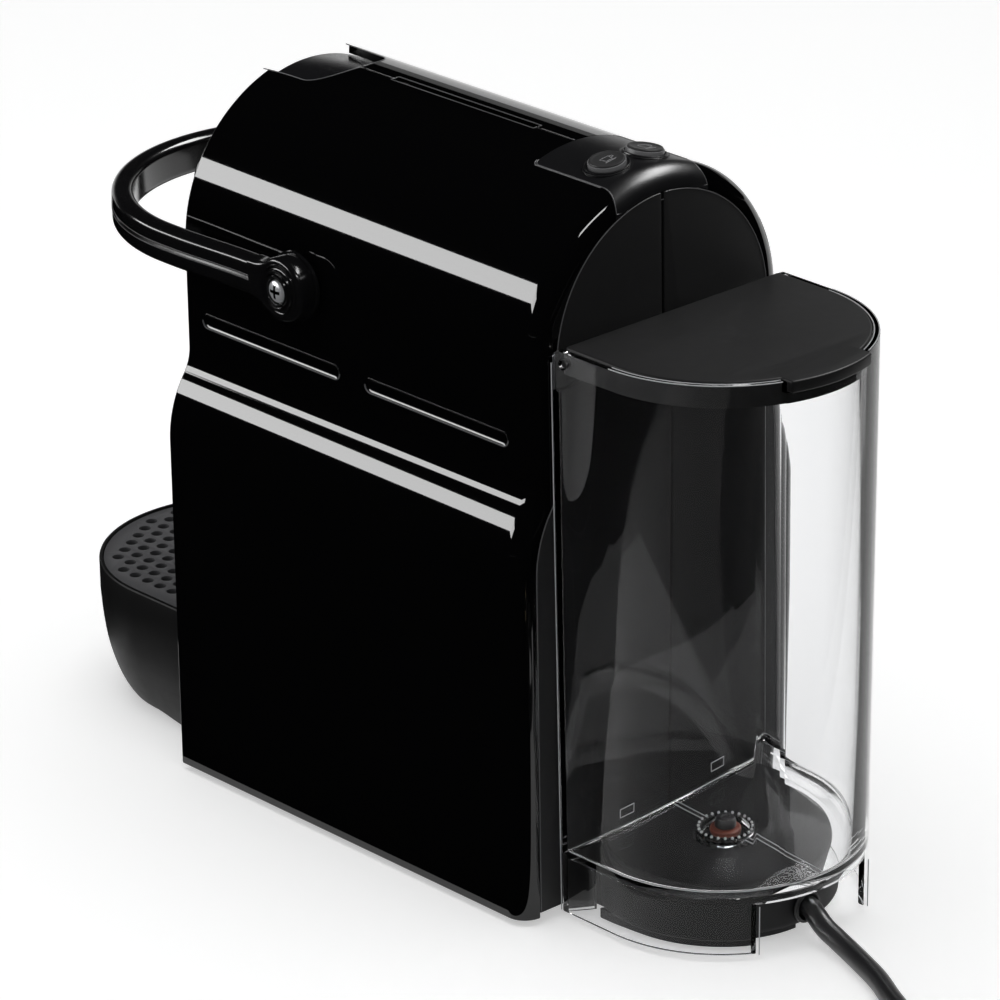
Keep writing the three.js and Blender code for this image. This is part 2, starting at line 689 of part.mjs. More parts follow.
function slideDoor() {
  const a0 = Math.PI / 2 - doorHalfAngle;
  const a1 = Math.PI / 2 + doorHalfAngle;
  const inner = doorOuter - doorThickness;
  const s = new THREE.Shape();
  s.moveTo(inner * Math.cos(a0), archCentreZ + inner * Math.sin(a0));
  s.lineTo(doorOuter * Math.cos(a0), archCentreZ + doorOuter * Math.sin(a0));
  s.absarc(0, archCentreZ, doorOuter, a0, a1, false);
  s.lineTo(inner * Math.cos(a1), archCentreZ + inner * Math.sin(a1));
  s.absarc(0, archCentreZ, inner, a1, a0, true);
  s.closePath();
  const sheet = prismY(s, doorFrontY, doorRearY, 8);
  const ribHalf = railSlotHalfWidth - GAP - 0.2;
  const rib = box(-ribHalf, ribHalf, railSlotFrontY + 0.5, railSlotFrontY + 6, archCentreZ + doorOuter - 1,
    archCentreZ + upperHalfWidth - 0.9);
  return join(sheet, rib);
}

addPart('slide_door', slideDoor(), satinBlack);

// ---------------------------------------------------------------- front
function frontPanel() {
  const outline = bodyOutline(coverWall + GAP, coverBottomZ);
  const bay = box(-80, 80, frontPanelY0 - 1, frontPanelY1 + 1, -10, bayTopZ);
  const plate = cut(prismY(outline, frontPanelY0, frontPanelY1, 12), bay);
  const doorWay = box(-21.5, 21.5, frontPanelY0 - 1, frontPanelY1 + 1, 217.8, 240);
  const channelWay = box(-5.6, 5.6, frontPanelY0 - 1, frontPanelY1 + 1, headBottomZ + 4.9, headBottomZ + 13.9);
  return cut(plate, doorWay, channelWay);
}

addPart('front_panel', frontPanel(), satinBlack);

function brewHead() {
  const backY = frontPanelY0 - GAP;
  const centreY = backY - 4;
  const plan = (inset) => {
    const s = new THREE.Shape();
    s.moveTo(-headHalfWidth + inset, backY + 20);
    s.lineTo(-headHalfWidth + inset, centreY);
    s.absellipse(0, centreY, headHalfWidth - inset, headReach - inset, Math.PI, 2 * Math.PI, false, 0);
    s.lineTo(headHalfWidth - inset, backY + 20);
    s.closePath();
    return s;
  };
  const round = 7;
  const bevel = {
    bevelEnabled: true, bevelThickness: round, bevelSize: round, bevelOffset: -round, bevelSegments: 3,
  };
  const rounded = extruded(plan(0), headTopZ - headBottomZ, [X, Y, Z], [0, 0, headBottomZ - round], 12, bevel);
  const outer = rounded.intersect(box(-80, 80, -160, backY, headBottomZ, headTopZ));
  const cavity = prismZ(plan(headWall), headBottomZ + headWall, headTopZ - 5, 12);
  const outletHole = rod('z', outletRadius + GAP, headBottomZ - 2, headBottomZ + headWall + 2, 0, outletY, 24);
  return cut(outer, cavity, outletHole);
}

addPart('brew_head', brewHead(), glossBlack);

function coffeeOutlet() {
  const shoulder = headBottomZ + headWall + GAP;
  return turned([
    [3, outletBottomZ], [outletRadius - 1.5, outletBottomZ], [outletRadius, outletBottomZ + 4],
    [outletRadius, shoulder], [outletRadius + 2.5, shoulder], [outletRadius + 2.5, shoulder + 1.8],
    [3, shoulder + 1.8], [3, outletBottomZ],
  ], 'z', 0, outletY, 18);
}

addPart('coffee_outlet', coffeeOutlet(), mattBlack);

// ---------------------------------------------------------------- base, dock and feet
const plinthFrontY = 94;
const baseHalfWidth = lowerHalfWidth - coverWall - GAP;
const baseRearY = coverRearY - rearPanelWall - GAP;

function base() {
  const corner = 6;
  const s = new THREE.Shape();
  s.moveTo(-baseHalfWidth, coverFrontY + GAP);
  s.lineTo(baseHalfWidth, coverFrontY + GAP);
  s.lineTo(baseHalfWidth, baseRearY - corner);
  s.absarc(baseHalfWidth - corner, baseRearY - corner, corner, 0, Math.PI / 2, false);
  s.lineTo(-baseHalfWidth + corner, baseRearY);
  s.absarc(-baseHalfWidth + corner, baseRearY - corner, corner, Math.PI / 2, Math.PI, false);
  s.closePath();
  const plate = prismZ(s, footHeight, baseTopZ, 4);
  const rearUpstand = box(-50, 50, baseRearY - 2.5, baseRearY, baseTopZ - 1, dockTopZ);
  const bulkhead = box(-baseHalfWidth, baseHalfWidth, bulkheadY, bulkheadY + bulkheadWall, baseTopZ - 1,
    flareBottomZ - 3);
  const behind = (y) => box(-80, 80, y, 200, -10, 60);
  const bowl = turned([
    [0, dockBottomZ], [dockRadius - dockRound, dockBottomZ], [dockRadius, dockBottomZ + dockRound],
    [dockRadius, dockTopZ - 1.2], [dockRadius - 1.2, dockTopZ], [0, dockTopZ],
  ], 'z', 0, tankCentreY, 36).intersect(behind(baseRearY - 1));
  const neck = box(-dockNeckHalfWidth, dockNeckHalfWidth, baseRearY - 1, tankFrontY + 8, dockBottomZ, dockTopZ);
  const plinthPlan = (inset) => dPlan(plinthRadius - inset, plinthFrontY + inset, tankCentreY);
  const cordNotch = box(glandX - 7, glandX + 1.2, tankCentreY + 20, tankCentreY + 40,
    plinthBottomZ - 1, dockBottomZ);
  const plinth = cut(prismZ(plinthPlan(0), plinthBottomZ, dockBottomZ + 1, 12), cordNotch);
  const hollowSplitZ = dockBottomZ + dockWall;
  const dockHollow = join(
    prismZ(plinthPlan(dockWall), plinthBottomZ - 5, hollowSplitZ + 1, 12),
    rod('z', dockRadius - dockWall, hollowSplitZ, dockTopZ - dockWall, 0, tankCentreY, 36)
      .intersect(behind(baseRearY + 2)),
    box(-dockNeckHalfWidth + dockWall, dockNeckHalfWidth - dockWall, baseRearY + 2, tankFrontY + 12, hollowSplitZ,
      dockTopZ - dockWall));
  const socket = turned([
    [valveStubRadius + GAP, 8], [valveStubRadius + GAP + 2, 8], [valveStubRadius + GAP + 2, dockTopZ - 1],
    [valveStubRadius + GAP, dockTopZ - 1], [valveStubRadius + GAP, 8],
  ], 'z', 0, valveY, 20);
  const socketFloor = rod('z', valveStubRadius + 1, 8, 10, 0, valveY, 20);
  const valvePin = rod('z', 1.4, 9, valveStemZ - GAP, 0, valveY, 12);
  let body = join(plate, rearUpstand, bulkhead, cut(join(bowl, neck, plinth), dockHollow));
  body = cut(body, rod('z', valveStubRadius + GAP, 12, 30, 0, valveY, 20));
  body = join(body, socket, socketFloor, valvePin);
  const posts = heaterPosts.map(([x, y]) => rod('z', 3.5, baseTopZ - 1, heaterBox.z0 - GAP, x, y, 8));
  const meterPost = rod('z', 5, baseTopZ - 1, meterZ0 - GAP, meterX, meterY, 12);
  body = join(body, ...posts, meterPost);
  const hoseWindow = box(-22, 4, baseRearY - 4, baseRearY + 3.2, baseTopZ + 0.4, dockTopZ - dockWall);
  const glandHole = rod('y', glandNeck + GAP, tankCentreY + 20, tankCentreY + 60, glandX, glandZ, 16);
  const boltHoles = footPlaces.map(([x, y]) => rod('z', 1.8, footHeight - 1, footHeight + 2, x, y, 10));
  return cut(body, hoseWindow, glandHole, ...boltHoles);
}

addPart('base', base(), mattBlack);

for (const [i, [x, y]] of footPlaces.entries()) {
  const end = y < 0 ? 'front' : 'rear';
  const side = x > 0 ? 'right' : 'left';
  const foot = turned([
    [0, 0], [footRadius - 1, 0], [footRadius, 1], [footRadius, footHeight - GAP], [1.4, footHeight - GAP],
    [1.4, footHeight + 1.6], [0, footHeight + 1.6],
  ], 'z', x, y, 14);
  addPart(`foot_${end}_${side}`, foot, rubberBlack);
}

// ---------------------------------------------------------------- drip tray and grid
// Height, half-width of the round front and half-width where the tray enters the machine.
const trayHull = [[1, 36.5, 44], [2, 38.6, 44.4], [8, 42, 45.4], [17, 44.9, 46.1], [26, 46.4, 46.8],
  [36, trayRadius, trayRadius]];
const trayHollow = [[4.2, 36.8, 42], [8, 39.6, 43], [17, 42.5, 43.7], [26, 44, 44.4],
  [36, trayRadius - trayWall, trayRadius - trayWall]];

// The front half round of the hull and its run back into the machine, up to the height topZ.
function trayBody(levels, topZ, rearY) {
  const [topLevel] = levels.slice(-1);
  const all = [...levels, [topZ, topLevel[1], topLevel[2]]];
  const profile = [[0, all[0][0]], ...all.map(([z, front]) => [front, z]), [0, topZ]];
  const section = new THREE.Shape();
  section.moveTo(-all[0][2], all[0][0]);
  for (const [z, , rear] of all) section.lineTo(rear, z);
  for (const [z, , rear] of [...all].reverse()) section.lineTo(-rear, z);
  section.closePath();
  const neck = prismY(section, trayCentreY, rearY).warp((point) => {
    const level = all.find(([z]) => Math.abs(z - point[2]) < 0.01);
    if (point[1] < trayCentreY + 0.01) point[0] *= level[1] / level[2];
  });
  return turned(profile, 'z', 0, trayCentreY, 40).add(neck);
}

const trayBoxFrontY = coverFrontY - 0.6;
const trayFloorZ = baseTopZ + GAP;
const gridSeatZ = trayRimZ - gridDrop - gridThickness - GAP;

function dripTray() {
  const hull = trayBody(trayHull, trayRimZ, trayBoxFrontY);
  const rear = box(-trayRearHalfWidth, trayRearHalfWidth, trayBoxFrontY - 1, trayRearY, trayFloorZ, trayRimZ);
  const hollow = trayBody(trayHollow, trayRimZ + 5, trayBoxFrontY - 2);
  const rearHalf = trayRearHalfWidth - trayWall;
  const rearHollow = box(-rearHalf, rearHalf, trayBoxFrontY - 4, trayRearY - trayWall, trayFloorZ + 2.4,
    trayRimZ + 5);
  const seatRadius = trayRadius - trayWall + 1.2;
  const gridSeat = prismZ(dPlan(seatRadius, trayBoxFrontY - 1.5, trayCentreY, -1), gridSeatZ, trayRimZ + 5, 24);
  const baseWay = box(-80, 80, trayBoxFrontY, trayRearY, -5, trayFloorZ);
  return cut(join(hull, rear), baseWay, hollow, rearHollow, gridSeat);
}

addPart('drip_tray', dripTray(), mattBlack);

const gridRadius = trayRadius - trayWall + 1.2 - GAP;
const gridRearY = trayBoxFrontY - 1.8;

function dripGrid() {
  const plate = prismZ(dPlan(gridRadius, gridRearY, trayCentreY, -1), gridSeatZ + GAP, trayRimZ - gridDrop, 24);
  const rowStep = gridPitch * Math.sqrt(3) / 2;
  const holes = [];
  const margin = gridRadius - gridHole - 2.2;
  for (let column = -8; column <= 8; column++) {
    const x = column * rowStep;
    for (let row = 0; row < 14; row++) {
      const y = gridRearY - 4.5 - gridPitch * (row + (column % 2 ? 0.5 : 0));
      const beyond = Math.min(0, y - trayCentreY);
      if (Math.hypot(x, beyond) < margin) holes.push([x, y]);
    }
  }
  const drills = holes.map(([x, y]) => rod('z', gridHole, gridSeatZ - 2, trayRimZ + 2, x, y, 4));
  return plate.subtract(wasm.Manifold.union(drills));
}

addPart('drip_grid', dripGrid(), gridGrey);

// ---------------------------------------------------------------- used capsule container, cup support
const containerBottomZ = trayRimZ + 0.6;

function capsuleContainer() {
  const half = containerHalfWidth;
  const outer = box(-half, half, containerFrontY, containerRearY, containerBottomZ, containerTopZ);
  const hollow = box(-half + containerWall, half - containerWall, containerFrontY + containerWall,
    containerRearY - containerWall, containerBottomZ + containerWall, containerTopZ + 5);
  let body = cut(outer, hollow);
  for (const side of [1, -1]) {
    const inner = supportHalfWidth + GAP;
    const [x0, x1] = side > 0 ? [inner, inner + 3.4] : [-inner - 3.4, -inner];
    const lug = box(x0, x1, supportAxisY - 2.4, containerFrontY + 0.5, supportHingeZ - 2.4, supportHingeZ + 2.4);
    body = join(body, lug);
  }
  return cut(body, rod('x', 1.2 + GAP, -supportHalfWidth - 5, supportHalfWidth + 5, supportAxisY, supportHingeZ, 12));
}

addPart('capsule_container', capsuleContainer(), satinBlack);

// Small shelf for short cups, folded up against the container.
function cupSupport() {
  const top = supportHingeZ + supportLength;
  const s = new THREE.Shape();
  s.moveTo(-supportHalfWidth, supportHingeZ - 1.5);
  s.lineTo(supportHalfWidth, supportHingeZ - 1.5);
  s.lineTo(supportHalfWidth, supportHingeZ + 12);
  s.bezierCurveTo(supportHalfWidth, top - 4, supportHalfWidth - 10, top, 0, top);
  s.bezierCurveTo(-supportHalfWidth + 10, top, -supportHalfWidth, top - 4, -supportHalfWidth, supportHingeZ + 12);
  s.closePath();
  const y0 = supportAxisY - supportThickness / 2;
  const plate = prismY(s, y0, y0 + supportThickness, 8);
  const pin = rod('x', 1.2, -supportHalfWidth - 3, supportHalfWidth + 3, supportAxisY, supportHingeZ, 12);
  const slots = [-14, -7, 0, 7, 14].map((x) =>
    box(x - 1.5, x + 1.5, y0 - 1, y0 + 5, supportHingeZ + 8, top - 9 - 0.02 * x * x));
  return cut(join(plate, pin), ...slots);
}

addPart('cup_support', cupSupport(), satinBlack);

// ---------------------------------------------------------------- water tank, valve and lid
const tankPlan = (inset) => dPlan(tankHalfWidth - inset, tankFrontY + inset, tankCentreY);

// A tower on the tank's plan that narrows downwards, about the middle of the flat wall.
function tankTower(inset, z0, z1) {
  const g = new THREE.ExtrudeGeometry(tankPlan(inset), { depth: z1 - z0, curveSegments: 18, bevelEnabled: false });
  const at = g.attributes.position;
  for (let i = 0; i < at.count; i++) {
    const z = z0 + at.getZ(i);
    const share = 1 - tankDraft * (tankRimZ - z) / (tankRimZ - tankSkirtZ);
    at.setXYZ(i, at.getX(i) * share, tankFrontY + (at.getY(i) - tankFrontY) * share, z);
  }
  return solid(g);
}

const seatZ = tankFloorZ + 0.7;          // face that the seal closes on, in a recess of the floor
const seatThickness = 1.2;

function waterTank() {
  const rimTop = tankRimZ + 5;
  const walls = cut(
    tankTower(0, tankSkirtZ, tankRimZ),
    tankTower(tankWall, tankFloorZ + tankWall, rimTop),
    tankTower(tankWall, tankSkirtZ - 5, tankFloorZ));
  const corner = new THREE.Shape();
  corner.moveTo(tankFrontY - 5, rimTop);
  corner.lineTo(tankFrontY - 5, tankRimZ - tankCornerRound);
  corner.lineTo(tankFrontY, tankRimZ - tankCornerRound);
  corner.absarc(tankFrontY + tankCornerRound, tankRimZ - tankCornerRound, tankCornerRound, Math.PI, Math.PI / 2, true);
  corner.lineTo(tankFrontY + tankCornerRound, rimTop);
  corner.closePath();
  const flatTop = box(-tankHalfWidth + tankWall, tankHalfWidth - tankWall, tankFrontY - 2, tankFrontY + 6,
    tankFlatTopZ, rimTop);
  const tabNotch = box(-lidTabHalfWidth - GAP, lidTabHalfWidth + GAP, tankCentreY + 30, tankCentreY + 60,
    lidTopZ - lidTabDepth - GAP, rimTop);
  const skirtNotch = box(-skirtNotchHalfWidth, skirtNotchHalfWidth, tankCentreY + 20, tankCentreY + 60,
    tankSkirtZ - 5, tankFloorZ - 2);
  const dockWay = box(-dockNeckHalfWidth - 0.8, dockNeckHalfWidth + 0.8, tankFrontY - 2, tankFrontY + 6,
    tankSkirtZ - 5, dockTopZ + GAP);
  const stub = rod('z', valveStubRadius, dockTopZ - 6, tankFloorZ + tankWall + 0.8, 0, valveY, 24);
  const recess = rod('z', valveBore + 0.4, seatZ, rimTop, 0, valveY, 20);
  const bore = rod('z', valveBore, dockTopZ - 8, seatZ - seatThickness, 0, valveY, 20);
  const throat = rod('z', valveThroat, dockTopZ - 8, rimTop, 0, valveY, 16);
  const hinge = [1, -1].map((side) => rod('x', lidPinRadius + GAP,
    side > 0 ? lidPinX - 1 : -lidPinX - 4, side > 0 ? lidPinX + 4 : -lidPinX + 1, lidAxisY, lidAxisZ, 12));
  const spine = box(-1, 1, tankFrontY + 2, tankCentreY + tankHalfWidth - 4, dockTopZ + GAP, tankFloorZ + 0.5);
  const body = cut(walls, prismX(corner, -60, 60, 5), flatTop, tabNotch, skirtNotch, dockWay);
  return cut(join(body, stub, spine), recess, bore, throat, ...hinge);
}

addPart('water_tank', waterTank(), clearPlastic);

const lidPlan = (inset) => dPlan(tankHalfWidth - tankWall - GAP - inset, lidFrontY + inset, tankCentreY);

function tankLid() {
  const plate = prismZ(lidPlan(0), lidTopZ - lidThickness, lidTopZ, 18);
  const skirt = cut(
    prismZ(lidPlan(0), lidTopZ - lidSkirt, lidTopZ - 1, 18),
    prismZ(lidPlan(2), lidTopZ - lidSkirt - 5, lidTopZ - lidThickness, 18));
  const lidTabRadius = tankHalfWidth + lidTabReach;
  const tabAngle = Math.acos(lidTabHalfWidth / lidTabRadius);
  const s = new THREE.Shape();
  s.moveTo(lidTabHalfWidth, tankCentreY + 34);
  s.absarc(0, tankCentreY, lidTabRadius, tabAngle, Math.PI - tabAngle, false);
  s.lineTo(-lidTabHalfWidth, tankCentreY + 34);
  s.closePath();
  const tab = prismZ(s, lidTopZ - lidTabDepth, lidTopZ, 8);
  const pins = [1, -1].map((side) => rod('x', lidPinRadius,
    side > 0 ? lidPinX - 3 : -lidPinX - 2, side > 0 ? lidPinX + 2 : -lidPinX + 3, lidAxisY, lidAxisZ, 12));
  return join(plate, skirt, tab, ...pins);
}

addPart('tank_lid', tankLid(), mattBlack);

// Plunger hanging through the throat of the seat, its seal above the seat, a return spring below.
const sealZ = seatZ + GAP;
const sealTopZ = sealZ + 2;

addPart('valve_plunger', turned([
  [0, valveStemZ], [4.6, valveStemZ], [4.6, valveStemZ + 1.2], [1.9, valveStemZ + 1.2], [1.9, sealTopZ + GAP],
  [3.3, sealTopZ + GAP], [3.1, sealTopZ + 2.2], [2.3, sealTopZ + 3], [0, sealTopZ + 3],
], 'z', 0, valveY, 20), mattBlack);

addPart('valve_seal', turned([
  [1.9 + GAP, sealZ], [4.4, sealZ], [4.9, sealZ + 1], [4.4, sealTopZ], [1.9 + GAP, sealTopZ], [1.9 + GAP, sealZ],
], 'z', 0, valveY, 20), sealRed);

const springFloorZ = valveStemZ + 1.2 + GAP;
const springTopZ = seatZ - seatThickness - GAP;

function valveSpring() {
  const wire = 0.45;
  const turns = 2;
  const steps = 9;
  const height = springTopZ - springFloorZ - 2 * wire;
  const points = [];
  for (let i = 0; i <= steps * turns; i++) {
    const a = (2 * Math.PI * i) / steps;
    points.push([3.4 * Math.cos(a), valveY + 3.4 * Math.sin(a), springFloorZ + wire + (height * i) / (steps * turns)]);
  }
  return tube(points, wire, 4, steps * turns);
}

addPart('valve_spring', valveSpring(), chrome);

// ---------------------------------------------------------------- pump, flow meter, heater, board, hoses
function pump() {
  return turned([
    [0, -2], [3, -2], [3, 4], [9, 4], [9, 10], [pumpRadius, 10], [pumpRadius, 24], [pumpRadius - 3, 24],
    [pumpRadius - 3, 28], [pumpRadius + 2, 28], [pumpRadius + 2, 58], [pumpRadius - 3, 58], [pumpRadius - 3, 62],
    [6, 62], [6, 66], [3, 66], [3, 70], [0, 70],
  ], 'y', pumpX, pumpZ, 14);
}

addPart('pump', pump(), aluminium);

function pumpMount(y0, y1, radius) {
  const block = box(pumpX - pumpMountHalf, pumpX + pumpMountHalf, y0, y1, baseTopZ + GAP, pumpZ + 14);
  return cut(block, rod('y', radius + GAP, y0 - 1, y1 + 1, pumpX, pumpZ, 24));
}

addPart('pump_mount_front', pumpMount(12.4, 20, pumpRadius), rubberBlack);
addPart('pump_mount_rear', pumpMount(59, 61.4, pumpRadius - 3), rubberBlack);

addPart('flow_meter', turned([
  [0, meterZ0], [12, meterZ0], [12, meterZ1 - 4], [9, meterZ1 - 4], [9, meterZ1], [0, meterZ1],
], 'z', meterX, meterY, 16), whitePlastic);

function heater() {
  const { x0, x1, y0, y1, z0, z1 } = heaterBox;
  const block = box(x0, x1, y0, y1, z0, z1 - 6);
  const upper = box(x0 + 5, x1 - 5, y0 + 5, y1 - 5, z1 - 7, z1);
  const ends = [x0 + 10, x1 - 10].map((x) => rod('y', 4, y1 - 1, y1 + 6, x, (z0 + z1) / 2, 16));
  return join(block, upper, ...ends);
}

addPart('heater', heater(), aluminium);

function circuitBoard() {
  const board = box(-30, 30, boardY0, boardY1, boardZ - 2, boardZ - 0.4);
  const switchTopZ = archZAt(buttonX) - buttonStemLength * Math.cos(buttonTilt) - buttonTravel - 1;
  const switches = [1, -1].map((side) =>
    box(side * 5.3 - 3, side * 5.3 + 3, buttonY - 3, buttonY + 3, boardZ - 1, switchTopZ));
  const relay = box(-26, -14, 49, 64, boardZ - 1, boardZ + 8);
  const capacitor = rod('z', 4.5, boardZ - 1, boardZ + 7, 20, 56, 16);
  return join(board, ...switches, relay, capacitor);
}

addPart('circuit_board', circuitBoard(), boardGreen);

const hoseRoutes = {
  hose_dock_to_pump: [[-3, 100.9, 12.6], [-6, 95, 12.4], [-12, 86, 12], [-17, 78.4, 16], [-24, 77.6, 27],
    [pumpX, 77, 33], [pumpX, 73.6, pumpZ], [pumpX, 70.4, pumpZ]],
  hose_pump_to_heater: [[pumpX, -2.5, pumpZ], [pumpX, -4.4, pumpZ], [-26, -6, 40], [-23, -3, 54],
    [-10, 8, 65], [1, 12, 66], [heaterBox.x0 - 0.5, 12, 66]],
  hose_heater_to_brew: [[26, 35, heaterBox.z1 + 0.4], [26, 35, 104], [22, 36, 140], [8, 34, 168],
    [0, 27, brewZ], [0, hoseEndY + 4, brewZ], [0, hoseEndY, brewZ]],
};
addPart('hose_dock_to_pump', tube(hoseRoutes.hose_dock_to_pump, 2.2, 6, 16), hoseClear);
addPart('hose_pump_to_heater', tube(hoseRoutes.hose_pump_to_heater, 2.2, 6, 16), hoseClear);
addPart('hose_heater_to_brew', tube(hoseRoutes.hose_heater_to_brew, 2.2, 6, 18), hoseClear);

// ---------------------------------------------------------------- power cord, laid on the surface
const dockRearY = tankCentreY + dockRadius;
const glandCollar = glandNeck + 1;

addPart('cable_gland', turned([
  [cordRadius + GAP, dockRearY - dockWall - 2], [glandNeck, dockRearY - dockWall - 2], [glandNeck, dockRearY + GAP],
  [glandCollar, dockRearY + GAP], [glandCollar, dockRearY + 1], [glandCollar - 0.6, dockRearY + 1.6],
  [cordRadius + GAP + 0.7, dockRearY + 1.6], [cordRadius + GAP, dockRearY - 0.6],
  [cordRadius + GAP, dockRearY - dockWall - 2],
], 'y', glandX, glandZ, 16), rubberBlack);

// The points were chosen by hand; the last ones run straight into the coil's outer turn.
const cordRoute = [
  [0, 141, 9.6], [0, 145, 9.6], [0, 149.2, 9.6], [0.6, 152, 8.4], [1.4, 156.4, 6.3], [2.2, 162.5, 4.7],
  [3.6, 169, 3.7], [6.4, 177, 3.5], [10.6, 187.5, 3.5], [17.4, 200.6, 3.5], [20.7, 208.4, 3.5],
  [22.4, 216.5, 3.5], [22.8, 225, 3.5], [22.8, 232.5, 3.5], [22.8, 240.5, 3.5],
];
const coilCentre = [59.25, 262];
const coilZ = coilBundle + 0.3;

addPart('power_cord', tube(cordRoute, cordRadius, 8, 18), rubberBlack);

function cordCoil() {
  const profile = [];
  for (let i = 0; i <= 10; i++) {
    const a = (2 * Math.PI * i) / 10;
    profile.push([coilRadius + coilBundle * Math.cos(a), coilZ + coilBundle * Math.sin(a)]);
  }
  profile[10] = [...profile[0]];
  return turned(profile, 'z', ...coilCentre, 24);
}

addPart('power_cord_coil', cordCoil(), rubberBlack);

// Flat two-pin plug lying beside the coil, in line with the outer turn.
const plugX0 = coilCentre[0] + 24.5;
const plugY = coilCentre[1] + coilRadius + cordRadius + 0.15;
const plugZ = 7.3;

function powerPlug() {
  const s = new THREE.Shape();
  s.moveTo(plugX0, plugY - 4);
  s.lineTo(plugX0 + 12, plugY - 5.5);
  s.bezierCurveTo(plugX0 + 20, plugY - 7, plugX0 + 22, plugY - 17, plugX0 + 30, plugY - 17.5);
  s.lineTo(plugX0 + 35, plugY - 17.5);
  s.lineTo(plugX0 + 35, plugY + 17.5);
  s.lineTo(plugX0 + 30, plugY + 17.5);
  s.bezierCurveTo(plugX0 + 22, plugY + 17, plugX0 + 20, plugY + 7, plugX0 + 12, plugY + 5.5);
  s.lineTo(plugX0, plugY + 4);
  s.closePath();
  const body = prismZ(s, plugZ - 6.5, plugZ + 6.5, 5);
  const holes = [9.3, -9.3].map((dy) => rod('x', plugPinRadius + GAP, plugX0 + 25, plugX0 + 40, plugY + dy, plugZ, 12));
  return cut(body, ...holes);
}

addPart('power_plug', powerPlug(), rubberBlack);
for (const [name, dy] of [['plug_pin_right', 9.3], ['plug_pin_left', -9.3]]) {
  const tip = plugX0 + 54;
  addPart(name, turned([
    [0, plugX0 + 25.3], [plugPinRadius, plugX0 + 25.3], [plugPinRadius, tip - 1], [plugPinRadius - 1, tip], [0, tip],
  ], 'x', plugY + dy, plugZ, 12), chrome);
}

export default machine;
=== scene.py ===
# Pod coffee machine: gloss black side covers, lift lever, clear rear water tank, round drip tray.
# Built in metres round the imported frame: +Z up, -Y the drip tray, +Y the water tank.
import json
from contextlib import contextmanager
from math import acos, asin, atan2, ceil, cos, hypot, pi, radians, sin, sqrt

import bpy
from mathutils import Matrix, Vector

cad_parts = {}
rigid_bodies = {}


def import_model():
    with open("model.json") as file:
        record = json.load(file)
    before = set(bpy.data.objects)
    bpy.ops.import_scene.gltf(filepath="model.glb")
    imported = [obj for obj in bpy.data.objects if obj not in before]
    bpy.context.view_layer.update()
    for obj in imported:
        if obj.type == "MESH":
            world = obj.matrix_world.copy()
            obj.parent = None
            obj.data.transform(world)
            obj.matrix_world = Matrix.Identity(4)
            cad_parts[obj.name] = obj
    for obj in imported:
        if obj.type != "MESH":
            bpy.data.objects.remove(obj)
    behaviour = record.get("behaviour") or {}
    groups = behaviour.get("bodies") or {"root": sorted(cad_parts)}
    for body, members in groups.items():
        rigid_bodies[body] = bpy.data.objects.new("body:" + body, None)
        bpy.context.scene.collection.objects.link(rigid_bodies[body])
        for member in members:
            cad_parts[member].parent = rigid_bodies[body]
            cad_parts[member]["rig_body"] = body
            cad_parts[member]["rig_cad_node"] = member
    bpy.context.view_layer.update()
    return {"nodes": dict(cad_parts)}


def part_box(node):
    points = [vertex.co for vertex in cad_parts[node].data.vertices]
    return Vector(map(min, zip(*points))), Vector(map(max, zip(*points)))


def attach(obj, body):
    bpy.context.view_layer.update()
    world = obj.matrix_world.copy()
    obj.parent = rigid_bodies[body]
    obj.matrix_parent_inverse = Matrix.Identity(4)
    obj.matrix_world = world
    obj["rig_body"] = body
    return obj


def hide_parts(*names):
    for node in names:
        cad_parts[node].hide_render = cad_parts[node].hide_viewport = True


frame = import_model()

# ---------------------------------------------------------------- camera
# A long lens from behind the machine's +X side, looking down on the tank and the top.
bpy.ops.object.camera_add(location=(1.15316, 1.28372, 0.82213),
                          rotation=(radians(67.219), radians(0.87), radians(137.398)))
camera = bpy.context.object
camera.name = "camera"
camera.data.lens = 216.563
camera.data.sensor_width = 36
camera.data.clip_end = 30
bpy.context.scene.camera = camera
bpy.context.scene.view_settings.view_transform = "Standard"


# ---------------------------------------------------------------- power cord
# A round two-core rubber lead, 6.6 mm thick and 0.8 m long. It leaves the gland under the tank, drops to the
# table and runs to a neat coil behind the machine, with a moulded two-pin plug beside it.
def wired(tree, kind, operation=None, **inputs):
    """Adds a shader node. Each input, by name or as _index, is a value or the socket that feeds it."""
    node = tree.nodes.new("ShaderNode" + kind)
    if operation:
        node.operation = operation
    for name, value in inputs.items():
        socket = node.inputs[int(name[1:]) if name[0] == "_" else name.replace("_", " ")]
        if isinstance(value, bpy.types.NodeSocket):
            tree.links.new(value, socket)
        else:
            socket.default_value = value
    return node


def finish_of(name, colour, roughness, grain=None, **sockets):
    """A material with its colour, roughness and any other shader socket.

    grain is (scale, depth, spread) and perhaps a roughness of its own: a fine noise raises the surface by depth,
    and a coarser one varies the roughness by spread.
    """
    material = bpy.data.materials.new(name)
    material.use_nodes = True
    tree = material.node_tree
    shader = tree.nodes["Principled BSDF"].inputs
    for socket, value in {"Base Color": (*colour, 1), "Roughness": roughness, **sockets}.items():
        shader[socket.replace("_", " ")].default_value = value
    if grain:
        scale, depth, spread, middle = (*grain, roughness)[:4]
        place = wired(tree, "TexCoord").outputs["Object"]
        fine = wired(tree, "TexNoise", Vector=place, Scale=scale, Detail=4)
        bump = wired(tree, "Bump", Strength=1, Distance=depth, Height=fine.outputs["Fac"])
        tree.links.new(bump.outputs["Normal"], shader["Normal"])
        cloud = wired(tree, "TexNoise", Vector=place, Scale=scale / 12)
        spreader = wired(tree, "MapRange", Value=cloud.outputs["Fac"], To_Min=middle - spread, To_Max=middle + spread)
        tree.links.new(spreader.outputs["Result"], shader["Roughness"])
    return material


